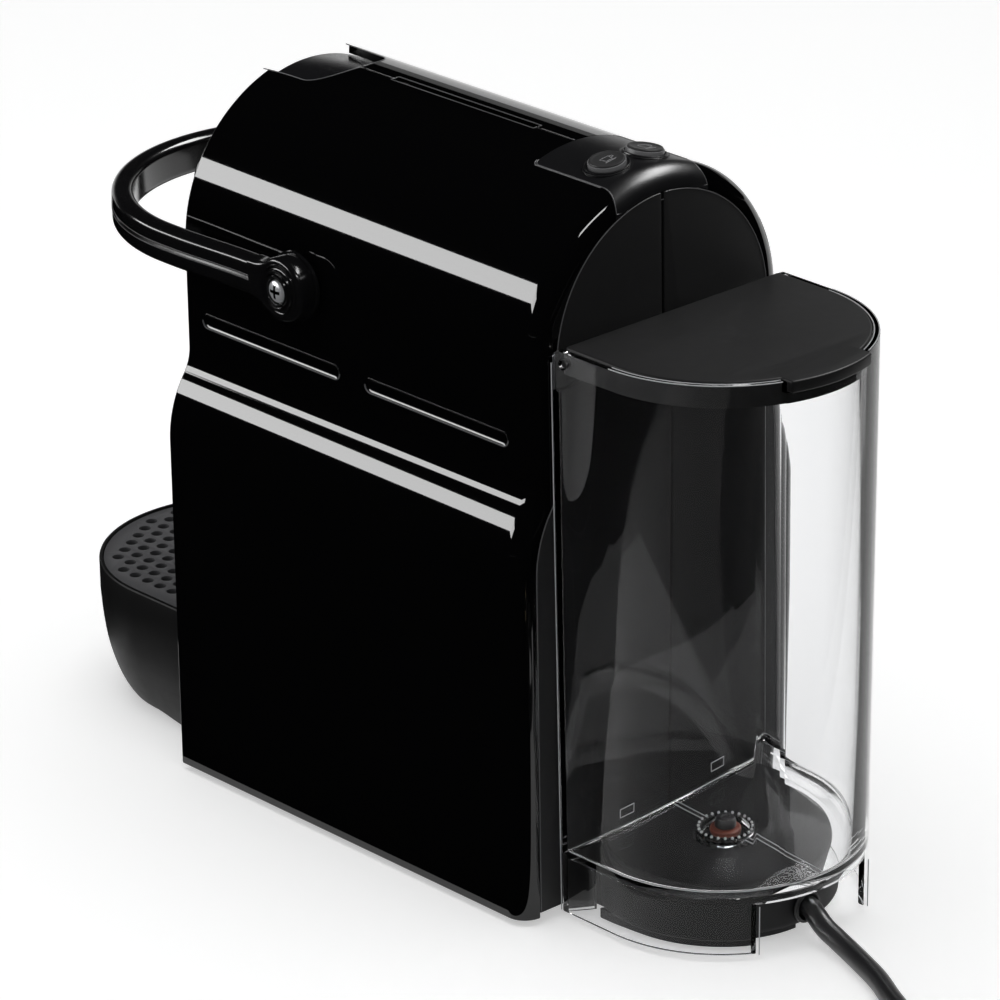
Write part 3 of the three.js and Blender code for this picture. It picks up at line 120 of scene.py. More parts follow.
def paint(piece, material):
    """Puts one material on a piece."""
    piece.data.materials.clear()
    piece.data.materials.append(material)
    return piece


cord_rubber = finish_of("cord_rubber", (0.016, 0.016, 0.017), 0.34, (2600, 0.00003, 0.05))
cord_radius = 0.0033
coil_centre, coil_mid = Vector((0.05925, 0.262, 0)), 0.033
route = [(0, 141, 9.6), (0, 145, 9.6), (0, 149.2, 9.6), (0.6, 152, 8.4), (1.4, 156.4, 6.3), (2.2, 162.5, 4.7),
         (3.6, 169, 3.7), (6.4, 177, 3.5), (10.6, 187.5, 3.5), (17.4, 200.6, 3.5), (20.7, 208.4, 3.5),
         (22.4, 216.5, 3.5), (22.8, 225, 3.5), (22.8, 232.5, 3.5), (22.8, 240.5, 3.5), (22.8, 251, 3.5)]
cord_points = [Vector(p) / 1000 for p in route]
# three and a quarter turns, two side by side on the table and two on top of them
turn_places = [(0.00345, 0.0035), (-0.00345, 0.0035), (-0.00345, 0.0103), (0.00345, 0.0103)]
steps_per_turn, blend_steps = 28, 8


def eased_share(share):
    """A share from 0 to 1 that starts and ends gently."""
    share = min(1, max(0, share))
    return share * share * (3 - 2 * share)


for turn, (offset, height) in enumerate(turn_places):
    next_offset, next_height = turn_places[min(turn + 1, 3)]
    for step in range(steps_per_turn if turn < 3 else steps_per_turn // 4 + 1):
        share = eased_share((step - steps_per_turn + blend_steps) / blend_steps)
        angle = pi - 2 * pi * (turn + step / steps_per_turn)
        reach = coil_mid + offset + (next_offset - offset) * share
        cord_points.append(coil_centre + Vector((reach * cos(angle), reach * sin(angle),
                                                 height + (next_height - height) * share)))
coil_top = cord_points[-1]
for along, drop in [(0.008, 0.0003), (0.014, 0.001), (0.02, 0.0021), (0.0247, 0.0028), (0.03, 0.003)]:
    cord_points.append(coil_top + Vector((along, 0, -drop)))

line = bpy.data.curves.new("power_lead", "CURVE")
line.dimensions = "3D"
line.bevel_depth = cord_radius
line.bevel_resolution = 6
line.resolution_u = 6
line.use_fill_caps = True
spline = line.splines.new("BEZIER")
spline.bezier_points.add(len(cord_points) - 1)
for point, place in zip(spline.bezier_points, cord_points):
    point.co = place
    point.handle_left_type = point.handle_right_type = "AUTO"
power_lead = bpy.data.objects.new("power_lead", line)
bpy.context.scene.collection.objects.link(power_lead)
line.materials.append(cord_rubber)
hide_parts("power_cord", "power_cord_coil")
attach(power_lead, "chassis")

# The gland is a moulded rubber bush with rings on its face; its bore flares at the mouth round the lead.
X, Y, Z = (1, 0, 0), (0, 1, 0), (0, 0, 1)


def only(piece):
    """This piece alone selected and active, in object mode."""
    if bpy.context.object and bpy.context.object.mode != "OBJECT":
        bpy.ops.object.mode_set(mode="OBJECT")
    bpy.ops.object.select_all(action="DESELECT")
    piece.select_set(True)
    bpy.context.view_layer.objects.active = piece


@contextmanager
def editing(piece, kind="VERT", action="SELECT"):
    """Edit mode on this piece with everything selected, or nothing; object mode again afterwards."""
    only(piece)
    bpy.ops.object.mode_set(mode="EDIT")
    bpy.ops.mesh.select_mode(type=kind)
    bpy.ops.mesh.select_all(action=action)
    yield
    bpy.ops.object.mode_set(mode="OBJECT")


def made(name):
    """The piece that was just added, with its name."""
    piece = bpy.context.object
    piece.name = piece.data.name = name
    return piece


def smooth(piece, angle=32):
    """Shaded smooth, with edges sharper than the angle kept crisp."""
    only(piece)
    bpy.ops.object.shade_smooth_by_angle(angle=radians(angle))
    return piece


def chain(name, places):
    """A line of edges from place to place, drawn from one vertex by extruding."""
    places = [Vector(place) for place in places]
    bpy.ops.object.select_all(action="DESELECT")
    bpy.ops.mesh.primitive_plane_add(size=0.01)
    piece = made(name)
    with editing(piece):
        bpy.ops.mesh.merge(type="CENTER")
        bpy.ops.transform.translate(value=places[0])
        for before, after in zip(places, places[1:]):
            bpy.ops.mesh.extrude_vertices_move(TRANSFORM_OT_translate={"value": after - before})
    return piece


def turned(name, profile, centre, axis, steps=64):
    """A solid turned about an axis: profile holds (radius, distance along the axis from centre)."""
    centre, axis = Vector(centre), Vector(axis).normalized()
    across = Vector(X) if abs(axis.z) > 0.9 else axis.orthogonal()
    across = (across - axis * across.dot(axis)).normalized()
    piece = chain(name, [centre + across * radius + axis * along for radius, along in profile])
    with editing(piece):
        bpy.ops.mesh.spin(steps=steps, angle=2 * pi, center=centre, axis=axis)
        bpy.ops.mesh.select_all(action="SELECT")
        bpy.ops.mesh.remove_doubles(threshold=0.00001)
        bpy.ops.mesh.normals_make_consistent(inside=False)
    return smooth(piece)


gland = turned("gland", [(0.0036, -0.0045), (0.0042, -0.0045), (0.0042, 0.0003), (0.00505, 0.0003), (0.0052, 0.0005),
                         (0.0052, 0.001), (0.00505, 0.0013), (0.0048, 0.00135), (0.00474, 0.00115),
                         (0.00468, 0.00135), (0.0045, 0.0016), (0.0043, 0.0016), (0.004, 0.001), (0.0037, 0.0002),
                         (0.0036, -0.0006), (0.0036, -0.0045)], (0, 0.1468, 0.0096), Y)
paint(gland, cord_rubber)
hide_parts("cable_gland")
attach(gland, "chassis")


# The plug is moulded on the lead: a flat body that spreads from a ribbed neck, with two round brass pins.
def traced(name, places):
    """A flat outline through the places, filled with one face."""
    piece = chain(name, places)
    with editing(piece):
        bpy.ops.mesh.edge_face_add()
    return piece


def pushed(piece, by):
    """Extrudes a flat outline into a solid."""
    with editing(piece):
        bpy.ops.mesh.extrude_region_move(TRANSFORM_OT_translate={"value": by})
        bpy.ops.mesh.select_all(action="SELECT")
        bpy.ops.mesh.normals_make_consistent(inside=False)
    return piece


def carved(piece, tool, how="DIFFERENCE", solvers=("EXACT", "MANIFOLD")):
    """Cuts, joins or trims a piece with a tool, which is used up.

    The exact solver now and then gives back an empty mesh: the cut is then made with the manifold one.
    """
    whole, name = piece.data.copy(), piece.data.name
    for solver in solvers:
        only(piece)
        cut = piece.modifiers.new(how, "BOOLEAN")
        cut.operation = how
        cut.solver = solver
        cut.object = tool
        bpy.ops.object.modifier_apply(modifier=cut.name)
        if len(piece.data.polygons) > 3:
            break
        piece.data = whole.copy()
        piece.data.name = name
    bpy.data.meshes.remove(whole)
    bpy.data.objects.remove(tool)
    return piece


def eased(piece, width, segments=3, angle=40):
    """Rounds the sharp edges of a piece and shades it smooth."""
    only(piece)
    bevel = piece.modifiers.new("edges", "BEVEL")
    bevel.width = width
    bevel.segments = segments
    bevel.limit_method = "ANGLE"
    bevel.angle_limit = radians(angle)
    bevel.harden_normals = False
    bpy.ops.object.modifier_apply(modifier=bevel.name)
    return smooth(piece, 50)


def bend(a, b, c, d, steps):
    """Points of a cubic curve after its start."""
    return [tuple(p * (1 - t) ** 3 + q * 3 * t * (1 - t) ** 2 + r * 3 * t * t * (1 - t) + s * t ** 3
                  for p, q, r, s in zip(a, b, c, d)) for t in ((i + 1) / steps for i in range(steps))]


def rod(name, radius, low, high, centre, axis, steps=64):
    """A plain cylinder between two distances along its axis."""
    return turned(name, [(0, low), (radius, low), (radius, high), (0, high)], centre, axis, steps)


plug_start = Vector((0.08375, 0.29845, 0.0008))
pin_y, pin_z = 0.0093, 0.0065
half_plug = [(0, 0.004), (0.012, 0.0055), *bend((0.012, 0.0055), (0.02, 0.007), (0.022, 0.017), (0.03, 0.0175), 12),
             (0.035, 0.0175)]
plug_plan = half_plug + [(x, -y) for x, y in reversed(half_plug)]
plug = eased(pushed(traced("plug", [plug_start + Vector((x, y, 0)) for x, y in plug_plan]), (0, 0, 0.013)), 0.0022, 5)
for rib in range(4):
    notch = [(0.0052, -0.0006), (0.009, -0.0006), (0.009, 0.0006), (0.0052, 0.0006), (0.0052, -0.0006)]
    carved(plug, turned("notch", notch, plug_start + Vector((0.0035 + 0.0025 * rib, 0, pin_z)), X, 32))
pin_feet = [plug_start + Vector((0.035, across, pin_z)) for across in (pin_y, -pin_y)]
for pin_foot in pin_feet:
    carved(plug, rod("hole", 0.0023, -0.01, 0.002, pin_foot, X, 32))
paint(smooth(plug), cord_rubber)
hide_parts("power_plug")
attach(plug, "chassis")

pin_brass = finish_of("pin_brass", (0.62, 0.5, 0.28), 0.25, (900, 0.00001, 0.08), Metallic=1)
pin_profile = [(0, -0.0097), (0.002, -0.0097), (0.002, 0.0175), (0.0016, 0.0185), (0.0008, 0.019), (0, 0.019)]
for name, pin_foot in zip(("plug_pin_right", "plug_pin_left"), pin_feet):
    pin = paint(turned(name + "_turned", pin_profile, pin_foot, X, 32), pin_brass)
    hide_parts(name)
    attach(pin, "chassis")


# ---------------------------------------------------------------- side covers
# Two glossy black ABS half shells, 2.5 mm thick, that meet along the top and flare out over the capsule bin.
# They are clipped to the base and to each other; the top is open at the capsule scoop, the slot and the panel.
low_half, arch_half, arch_height = 0.0595, 0.0503, 0.1783
cover_front, cover_rear = -0.0741, 0.0868
flare_out, flare_in = 0.036, 0.01417    # radii of the flare's lower, bulging arc and of its upper, hollow arc
flare_bottom, flare_top = 0.1135, 0.1425


def body_outline(inset, bottom, turn=1.0, flare_steps=24):
    """Section of the body as (x, z): flanks, flare and arch, set in by inset; turn is the arch's step in degrees."""
    low, up = low_half - inset, arch_half - inset
    swing = acos(1 - (low - up) / (flare_out + flare_in))
    turns = [swing * i / flare_steps for i in range(flare_steps + 1)]
    side = [(low, bottom)] + [(low - flare_out * (1 - cos(a)), flare_bottom + flare_out * sin(a)) for a in turns]
    side += [(up + flare_in * (1 - cos(a)), flare_top - flare_in * sin(a)) for a in reversed(turns[:-1])]
    steps = round(180 / turn)
    arch = [(up * cos(pi * i / steps), arch_height + up * sin(pi * i / steps)) for i in range(steps + 1)]
    return side + arch + [(-x, z) for x, z in reversed(side)]


def body_solid(name, inset, bottom, front, rear, turn=1.0, flare_steps=24):
    """The body's section run from front to rear along Y."""
    places = [(x, front, z) for x, z in body_outline(inset, bottom, turn, flare_steps)]
    return pushed(traced(name, places), (0, rear - front, 0))


def rounded(piece, width, segments, test, sharper=None):
    """Rounds the edges that pass the test; with sharper, only those of them sharper than that many degrees."""
    with editing(piece, "EDGE", "DESELECT"):
        if sharper:
            bpy.ops.mesh.edges_select_sharp(sharpness=radians(sharper))
    for edge in piece.data.edges:
        a, b = (piece.data.vertices[v].co for v in edge.vertices)
        edge.select = (edge.select or not sharper) and test(a, b)
    bpy.ops.object.mode_set(mode="EDIT")
    bpy.ops.mesh.bevel(offset=width, segments=segments, profile=0.5, affect="EDGES", clamp_overlap=False)
    bpy.ops.object.mode_set(mode="OBJECT")
    return piece


def block(name, low, high):
    """A block between two corners."""
    low, high = Vector(low), Vector(high)
    bpy.ops.object.select_all(action="DESELECT")
    bpy.ops.mesh.primitive_cube_add(size=1, location=(low + high) / 2, scale=high - low)
    bpy.ops.object.transform_apply(location=True, rotation=True, scale=True)
    return made(name)


def copied(piece, name):
    """A second piece with its own mesh."""
    only(piece)
    bpy.ops.object.duplicate(linked=False)
    return made(name)


def rear_edge(bottom, rear):
    """A test for the edges round a rear face."""
    return lambda a, b: min(a.y, b.y) > rear - 0.00005 and max(a.z, b.z) > bottom + 0.0001


def bow(start, middle, end, steps):
    """Points of a quadratic curve from its start to its end."""
    return [tuple(p * (1 - t) ** 2 + q * 2 * t * (1 - t) + r * t * t for p, q, r in zip(start, middle, end))
            for t in (i / steps for i in range(steps + 1))]


def shell(solvers):
    """The covers' common shell: front edge leaning back, rounded rear corner, eased front edge, hollow inside."""
    lean = bow((cover_front, 0.1683), (cover_front, 0.19842), (-0.0709, 0.2336), 12)
    lean += [(-0.0709, 0.25), (-0.09, 0.25), (-0.09, 0.1683)]
    outside = carved(body_solid("skin", 0, 0.002, cover_front, cover_rear),
                     pushed(traced("lean", [(-0.1, y, z) for y, z in lean]), (0.2, 0, 0)))
    rounded(outside, 0.007, 12, rear_edge(0.002, cover_rear))
    rounded(outside, 0.0006, 3, lambda a, b: max(a.y, b.y) <= -0.07 and max(a.z, b.z) >= 0.0021, 50)
    cavity = body_solid("cavity", 0.0025, -0.01, -0.08, 0.0843, 3, 10)
    return carved(outside, rounded(cavity, 0.0045, 4, rear_edge(-0.01, 0.0843)), solvers=solvers)


hollow_count = 5167  # a shell that was not hollowed has fewer points
for attempt in range(8):
    skin = shell(("EXACT",) if attempt < 7 else ("EXACT", "MANIFOLD"))
    if attempt == 7 or len(skin.data.vertices) > hollow_count:
        break
    bpy.data.objects.remove(skin)
carved(skin, body_solid("rear_opening", 0.0067, -0.01, 0.0668, 0.0918, 1.5, 12))
panel_stock = copied(skin, "panel_stock")


def mirrored(side, end=()):
    """A plan from its right side as (x, y), the end between the sides, and the same side turned over."""
    return [*side, *end, *[(-x, y) for x, y in reversed(side)]]


def scoop_plan():
    """Plan of the capsule scoop, open to the front."""
    half, turn_y = 0.016, -0.056
    end = [(half * cos(a), turn_y + 0.0095 * sin(a)) for a in (pi * i / 40 for i in range(1, 40))]
    return mirrored(bow((0.0178, -0.0791), (half, -0.0691), (half, turn_y), 8), end)


def panel_plan(clearance):
    """Plan of the button panel, grown by a clearance."""
    half, front, r = 0.0173 + clearance, 0.0498 - clearance, 0.002
    corner = [(half - r * (1 - sin(a)), front + r * (1 - cos(a))) for a in (pi / 2 * i / 6 for i in range(7))]
    return mirrored(corner + bow((half, 0.0798), (half, 0.0848), (half + 0.002, 0.0878), 8))


def standing(name, plan, low, high):
    """A plan raised from one height to another."""
    return pushed(traced(name, [(x, y, low) for x, y in plan]), (0, 0, high - low))


pivot = Vector((0, -0.0195, 0.1778))
groove_z, groove_half = 0.1533, 0.0024
groove_runs = ((-0.0665, -0.0022), (0.0093, 0.073))
carved(skin, standing("scoop_tool", scoop_plan(), 0.2033, 0.24))
carved(skin, standing("panel_tool", panel_plan(0.0003), 0.1983, 0.24))
carved(skin, block("slot_tool", (-0.0017, -0.031, 0.2083), (0.0017, 0.033, 0.24)))
carved(skin, rod("pivot_tool", 0.0073, -0.08, 0.08, pivot, X))
for side in (1, -1):
    for start, end in groove_runs:
        quarter = [pi / 2 * i / 12 for i in range(13)]
        capsule = [(0.004 * sin(a), start + groove_half - 0.004 * cos(a)) for a in quarter]
        capsule += [(0.004 * cos(a), end - groove_half + 0.004 * sin(a)) for a in quarter]
        carved(skin, turned("groove_tool", capsule, (side * 0.0535, 0, groove_z), Y, 96))

# the seam's edges are rolled: the tool that splits the shell widens at the surface
seam = [(0.00015, 0.2), (0.00015, 0.22802), (0.0003, 0.22837), (0.0006, 0.22856), (0.0011, 0.22864), (0.0011, 0.24)]
seam = [(-x, z) for x, z in seam] + seam[::-1]
carved(skin, pushed(traced("seam_tool", [(x, -0.1, z) for x, z in seam]), (0, 0.2, 0)))


def curve_of(name, places, closed=False, dimensions="3D"):
    """A curve object that runs straight from place to place."""
    curve = bpy.data.curves.new(name, "CURVE")
    curve.dimensions = dimensions
    run = curve.splines.new("POLY")
    run.points.add(len(places) - 1)
    for point, place in zip(run.points, places):
        point.co = (*place, 1)
    run.use_cyclic_u = closed
    piece = bpy.data.objects.new(name, curve)
    bpy.context.scene.collection.objects.link(piece)
    return piece


def beaded(name, places, radius, closed=False):
    """A fine rolled edge: a round bead along the places."""
    piece = curve_of(name, places, closed)
    piece.data.bevel_depth = radius
    piece.data.bevel_resolution = 2
    piece.data.use_fill_caps = True
    only(piece)
    bpy.ops.object.convert(target="MESH")
    return smooth(bpy.context.object, 60)


def joined(piece, *others):
    """Makes one object of several."""
    only(piece)
    for other in others:
        other.select_set(True)
    bpy.ops.object.join()
    return piece


def on_arch(x, y, radius=arch_half):
    """The place on the arch above a point of the plan."""
    return Vector((x, y, arch_height + sqrt(radius * radius - x * x)))


def densely(places, step=0.0008):
    """The same line with points no further apart than step."""
    places = [Vector(place) for place in places]
    out = [places[0]]
    for a, b in zip(places, places[1:]):
        n = max(1, ceil((b - a).length / step))
        out += [a + (b - a) * i / n for i in range(1, n + 1)]
    return out


# black lacquer-like ABS: near black, mirror smooth, with a very faint orange-peel ripple and a little dust haze
gloss_black = finish_of("gloss_black_abs", (0.0018, 0.0018, 0.002), 0.03, (90, 0.0000015, 0.012, 0.035),
                        Specular_IOR_Level=0.5)
# painted highlight: a paler grey plastic on the fine edge beads stands in for the light that these edges catch
painted_edge_highlight = finish_of("painted_edge_highlight", (0.12, 0.12, 0.125), 0.32, (2600, 0.000004, 0.05))

edge_reach = 0.00018
openings = [[p for p in densely(scoop_plan()) if p.y > cover_front + 0.0003 and abs(p.x) > 0.0004],
            [p for p in densely(panel_plan(0.0003)) if p.y < 0.0796 and abs(p.x) > 0.0004]]
for name, node, side in (("right_cover", "right_side_cover", 1), ("left_cover", "left_side_cover", -1)):
    low, high = sorted((0, -0.2 * side))
    cover = carved(copied(skin, name), block("half_tool", (low, -0.2, -0.05), (high, 0.2, 0.3)))
    only(cover)
    normals = cover.modifiers.new("flat_faces", "WEIGHTED_NORMAL")
    bpy.ops.object.shade_smooth_by_angle(angle=radians(32))
    normals.keep_sharp = True
    bpy.ops.object.modifier_apply(modifier=normals.name)
    # the pale beads round the scoop, the panel opening and the slot are painted highlights along these edges
    rims = [[on_arch(p.x, p.y) for p in line if p.x * side > 0] for line in openings]
    slot_edge = ((0.0003, -0.031), (0.0017, -0.031), (0.0017, 0.033), (0.0003, 0.033))
    rims.append([on_arch(side * x, y) for x, y in slot_edge])
    edges = [paint(beaded("rolled_edge", rim, edge_reach), painted_edge_highlight) for rim in rims]
    # along each groove the lower edge bead is painted pale as a highlight; the upper one stays gloss black
    for start, end in groove_runs:
        rim = [(side * arch_half, middle + reach * cos(a), groove_z + reach * sin(a))
               for middle, reach in ((end - groove_half, groove_half), (start + groove_half, -groove_half))
               for a in (-pi / 2 + pi * i / 16 for i in range(17))]
        edges.append(paint(beaded("rolled_edge", rim[25:] + rim[:9], 0.00024), painted_edge_highlight))
        edges.append(paint(beaded("rolled_edge", rim[8:26], 0.0002), gloss_black))
    collar = [(side * arch_half, pivot.y + 0.0073 * cos(a), pivot.z + 0.0073 * sin(a))
              for a in (pi * i / 32 for i in range(64))]
    edges.append(paint(beaded("rolled_edge", collar, edge_reach, True), gloss_black))
    joined(paint(cover, gloss_black), *edges)
    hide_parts(node)
    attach(cover, "chassis")
bpy.data.objects.remove(skin)


# ---------------------------------------------------------------- rear panels
# Two fine-textured matt black plates that close the back inside the covers' glossy lip, with a dark seam between
# them. Each clips into its cover, is notched round the dock, and carries a shelf for the circuit board.
matt_black = finish_of("matt_black_plastic", (0.0095, 0.0095, 0.0102), 0.6, (3200, 0.00003, 0.06, 0.58),
                       Specular_IOR_Level=0.3)
seam_half = 0.00045
for name, node, side in (("back_plate_right", "rear_panel_right", 1), ("back_plate_left", "rear_panel_left", -1)):
    plate = body_solid(name, 0.007, 0.0038, 0.0843, cover_rear, 1.5, 16)
    carved(plate, block("dock_notch", (-0.02833, 0.07, -0.01), (0.02833, 0.1, 0.0203)))
    low, high = sorted((-0.2 * side, seam_half * side))
    carved(plate, block("other_half", (low, -0.2, -0.05), (high, 0.2, 0.3)))
    low, high = sorted((0.004 * side, 0.028 * side))
    shelf = eased(block("shelf", (low, 0.048, 0.2017), (high, 0.0848, 0.2037)), 0.0003)
    # a pale bead along the plate's arched edge is a painted highlight
    line = [(x, 0.08676, z) for x, z in body_outline(0.00715, 0.0045, 1.5, 16) if x * side > 0.0006]
    joined(paint(eased(plate, 0.00035), matt_black), paint(shelf, matt_black),
           paint(beaded("plate_edge", line, 0.00017), painted_edge_highlight))
    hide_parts(node)
    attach(plate, "chassis")


# ---------------------------------------------------------------- button panel
# A satin black panel that carries on the line of the arch and rolls over the rear edge, clipped in from inside.
# Two stepped round bezels stand on it; its front corners are small radii and its rear end flares a little.
def arch_radius(y):
    """Radius of the covers' arch, which shrinks over the rear rounding."""
    run = min(1, max(0, (y - 0.0798) / 0.007))
    return arch_half - 0.007 * (1 - sqrt(1 - run * run))


button_x, button_y = 0.0076, 0.0713
button_tilt = asin(button_x / arch_half)
button_seats = {side: (on_arch(side * button_x, button_y), Vector((side * sin(button_tilt), 0, cos(button_tilt))))
                for side in (1, -1)}
satin_black = finish_of("satin_black_plastic", (0.0085, 0.0085, 0.0095), 0.34, (3000, 0.000012, 0.05))
panel_satin = finish_of("panel_satin_black", (0.0075, 0.0075, 0.0085), 0.3, (3400, 0.000016, 0.04))
panel = carved(panel_stock, standing("panel_trim", panel_plan(0), 0.1983, 0.24), "INTERSECT")
panel.name = panel.data.name = "control_panel"
for seat, upward in button_seats.values():
    carved(panel, rod("bore", 0.0062, -0.008, 0.008, seat, upward))
paint(smooth(panel), panel_satin)
# a pale bead round the panel's edge is a painted highlight
rim = [on_arch(p.x, p.y, arch_radius(p.y)) - Vector((0, 0, 0.00006))
       for p in densely(panel_plan(-0.00012)) if p.y < 0.0866]
bezel = [(0.0062, -0.0012), (0.0062, 0.0004), (0.00628, 0.00054), (0.00645, 0.0006), (0.0067, 0.00058),
         (0.0069, 0.00048), (0.00698, 0.0002), (0.00715, 0.00012), (0.0075, 0.0001), (0.0076, -0.0001),
         (0.0076, -0.0012), (0.0062, -0.0012)]
joined(panel, paint(beaded("panel_edge", rim, 0.00016), painted_edge_highlight),
       *[paint(turned("bezel", bezel, *place, 96), panel_satin) for place in button_seats.values()])
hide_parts("button_panel")
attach(panel, "chassis")


# ---------------------------------------------------------------- buttons
# Two push buttons, each a dark cap on a translucent grey ring that lights up, on a stem with a collar under the
# panel. A plain cup outline is moulded on each cap: a small one for espresso, a tall one for lungo.
cap_black = finish_of("button_cap", (0.028, 0.028, 0.029), 0.4, (3400, 0.00001, 0.05, 0.42))
ring_grey = finish_of("button_ring", (0.17, 0.17, 0.175), 0.36, (900, 0.000004, 0.05, 0.38))
print_grey = finish_of("button_print", (0.3, 0.3, 0.31), 0.5, (2400, 0.000004, 0.05))
cap_profile = [(0, 0.0012), (0.00545, 0.0012), (0.00545, 0.00195), (0.00535, 0.0021), (0.0051, 0.00218),
               (0.0047, 0.00216), (0.0044, 0.00206), (0.0038, 0.002), (0, 0.00198)]
ring_profile = [(0, -0.012), (0.0022, -0.012), (0.0022, -0.0047), (0.0068, -0.0047), (0.0068, -0.0033),
                (0.0059, -0.0033), (0.0059, 0.0013), (0.0058, 0.00155), (0.0056, 0.0016), (0, 0.0016)]
half = 0.0017
for name, node, side, tall in (("espresso_cap", "espresso_button", 1, 0.0024),
                               ("lungo_cap", "lungo_button", -1, 0.0034)):
    seat, upward = button_seats[side]
    across = Vector((cos(button_tilt), 0, -side * sin(button_tilt)))
    cap = paint(turned(name, cap_profile, seat, upward, 96), cap_black)
    ring = paint(turned("ring", ring_profile, seat, upward, 96), ring_grey)
    low = -tall / 2
    cup = [(-half, -low), (-half * 0.72, low), (half * 0.72, low), (half, -low), (-half, -low)]
    handle = [(half * u, tall * v) for u, v in ((0.93, 0.3), (1.55, 0.24), (1.5, -0.08), (0.85, -0.14))]
    saucer = [(-half * 1.25, low - 0.0006), (half * 1.25, low - 0.0006)]
    marks = [beaded("mark", [seat + upward * 0.00197 - across * u - Vector((0, v, 0)) for u, v in line], 0.00011)
             for line in (cup, handle, saucer)]
    joined(cap, ring, *[paint(mark, print_grey) for mark in marks])
    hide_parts(node)
    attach(cap, node.replace("_button", "_key"))


# ---------------------------------------------------------------- sliding hatch
# A curved satin plate under the arch that closes the capsule scoop; its rib runs in the slot of the covers.
hatch_gloss = finish_of("hatch_black", (0.01, 0.01, 0.011), 0.2, (2600, 0.000005, 0.04))
turns = [radians(66 + 1.5 * i) for i in range(33)]
sheet = [(r * cos(a), -0.0717, arch_height + r * sin(a))
         for r, way in ((0.0475, 1), (0.0455, -1)) for a in turns[::way]]
hatch = eased(pushed(traced("hatch", sheet), (0, 0.0497, 0)), 0.0005, 3, 50)
rib = eased(block("rib", (-0.0012, -0.0305, 0.2248), (0.0012, -0.025, 0.2277)), 0.0004)
joined(paint(hatch, hatch_gloss), paint(rib, hatch_gloss))
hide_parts("slide_door")
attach(hatch, "hatch")


# ---------------------------------------------------------------- lift lever
# A satin black U that turns on the two sides of the body: one moulding with rounded edges, a fine groove along its
# outer face, heads that widen into round hubs, and stepped rings round the fixing screws.
def half_round(across, along, middle, steps=80, way=-1):
    """Half an ellipse from +X to -X about y = middle, bulging to the front, or to the rear with way = 1."""
    turns = (pi * i / steps for i in range(steps + 1))
    return [(across * cos(a), middle + way * along * sin(a)) for a in turns]


def arm_line(offset, start):
    """Middle line of the U, moved outwards by offset, from y = start on the right to y = start on the left."""
    right, y = [], start
    while y > -0.075:
        right.append((0.0555 + 0.0015 * eased_share((-0.036 - y) / 0.034) + offset, y))
        y -= 0.0015
    front = half_round(0.057 + offset, 0.058 + offset, -0.075, 72)
    return [Vector((x, y, 0.1784)) for x, y in mirrored(right, front)]


def rounded_section(half_width, half_height, corner, steps=6):
    """Rounded rectangle round the origin."""
    return [((half_width - corner) * sx + corner * cos(a), (half_height - corner) * sy + corner * sin(a), 0)
            for sx, sy, start in ((1, 1, 0), (-1, 1, 90), (-1, -1, 180), (1, -1, 270))
            for a in (radians(start + 90 * i / steps) for i in range(steps + 1))]


def swept(name, places, section):
    """A bar of the given section, kept upright, along the places."""
    shape = curve_of("section", section, True, "2D")
    path = curve_of(name, places)
    path.data.twist_mode = "Z_UP"
    path.data.bevel_mode = "OBJECT"
    path.data.bevel_object = shape
    path.data.use_fill_caps = True
    only(path)
    bpy.ops.object.convert(target="MESH")
    piece = bpy.context.object
    with editing(piece):
        bpy.ops.mesh.remove_doubles(threshold=0.00001)
        bpy.ops.mesh.normals_make_consistent(inside=False)
    bpy.data.objects.remove(shape)
    return piece


def sided(profile, side):
    """A profile along X for the right side, or turned over for the left."""
    return [(radius, side * along) for radius, along in profile]


lever_black = finish_of("lever_black_plastic", (0.005, 0.005, 0.0055), 0.16, (2200, 0.000004, 0.04))
lever = swept("lift_lever", arm_line(0, -0.03), rounded_section(0.0035, 0.006, 0.0024))
# head: the arm's outline, 6 mm each way from a line 0.6 mm above the pivot, widens by fillets into the hub's circle
hub, fillet = 0.0102, 0.012
outline = {}
for sign, reach in ((1, 0.0066), (-1, 0.0054)):
    depth = sqrt((hub + fillet) ** 2 - (reach + fillet) ** 2)
    meet = atan2(reach + fillet, depth)
    run = [(-0.0145, reach)] + [(-depth + fillet * sin(a), reach + fillet - fillet * cos(a))
                                for a in ((pi / 2 - meet) * i / 8 for i in range(9))]
    outline[sign] = [(u, sign * v) for u, v in run], meet
first, last = pi - outline[1][1], outline[-1][1] - pi
circle = [(hub * cos(a), hub * sin(a)) for a in (first - (first - last) * i / 60 for i in range(1, 60))]
head_plan = outline[1][0] + circle + outline[-1][0][::-1]
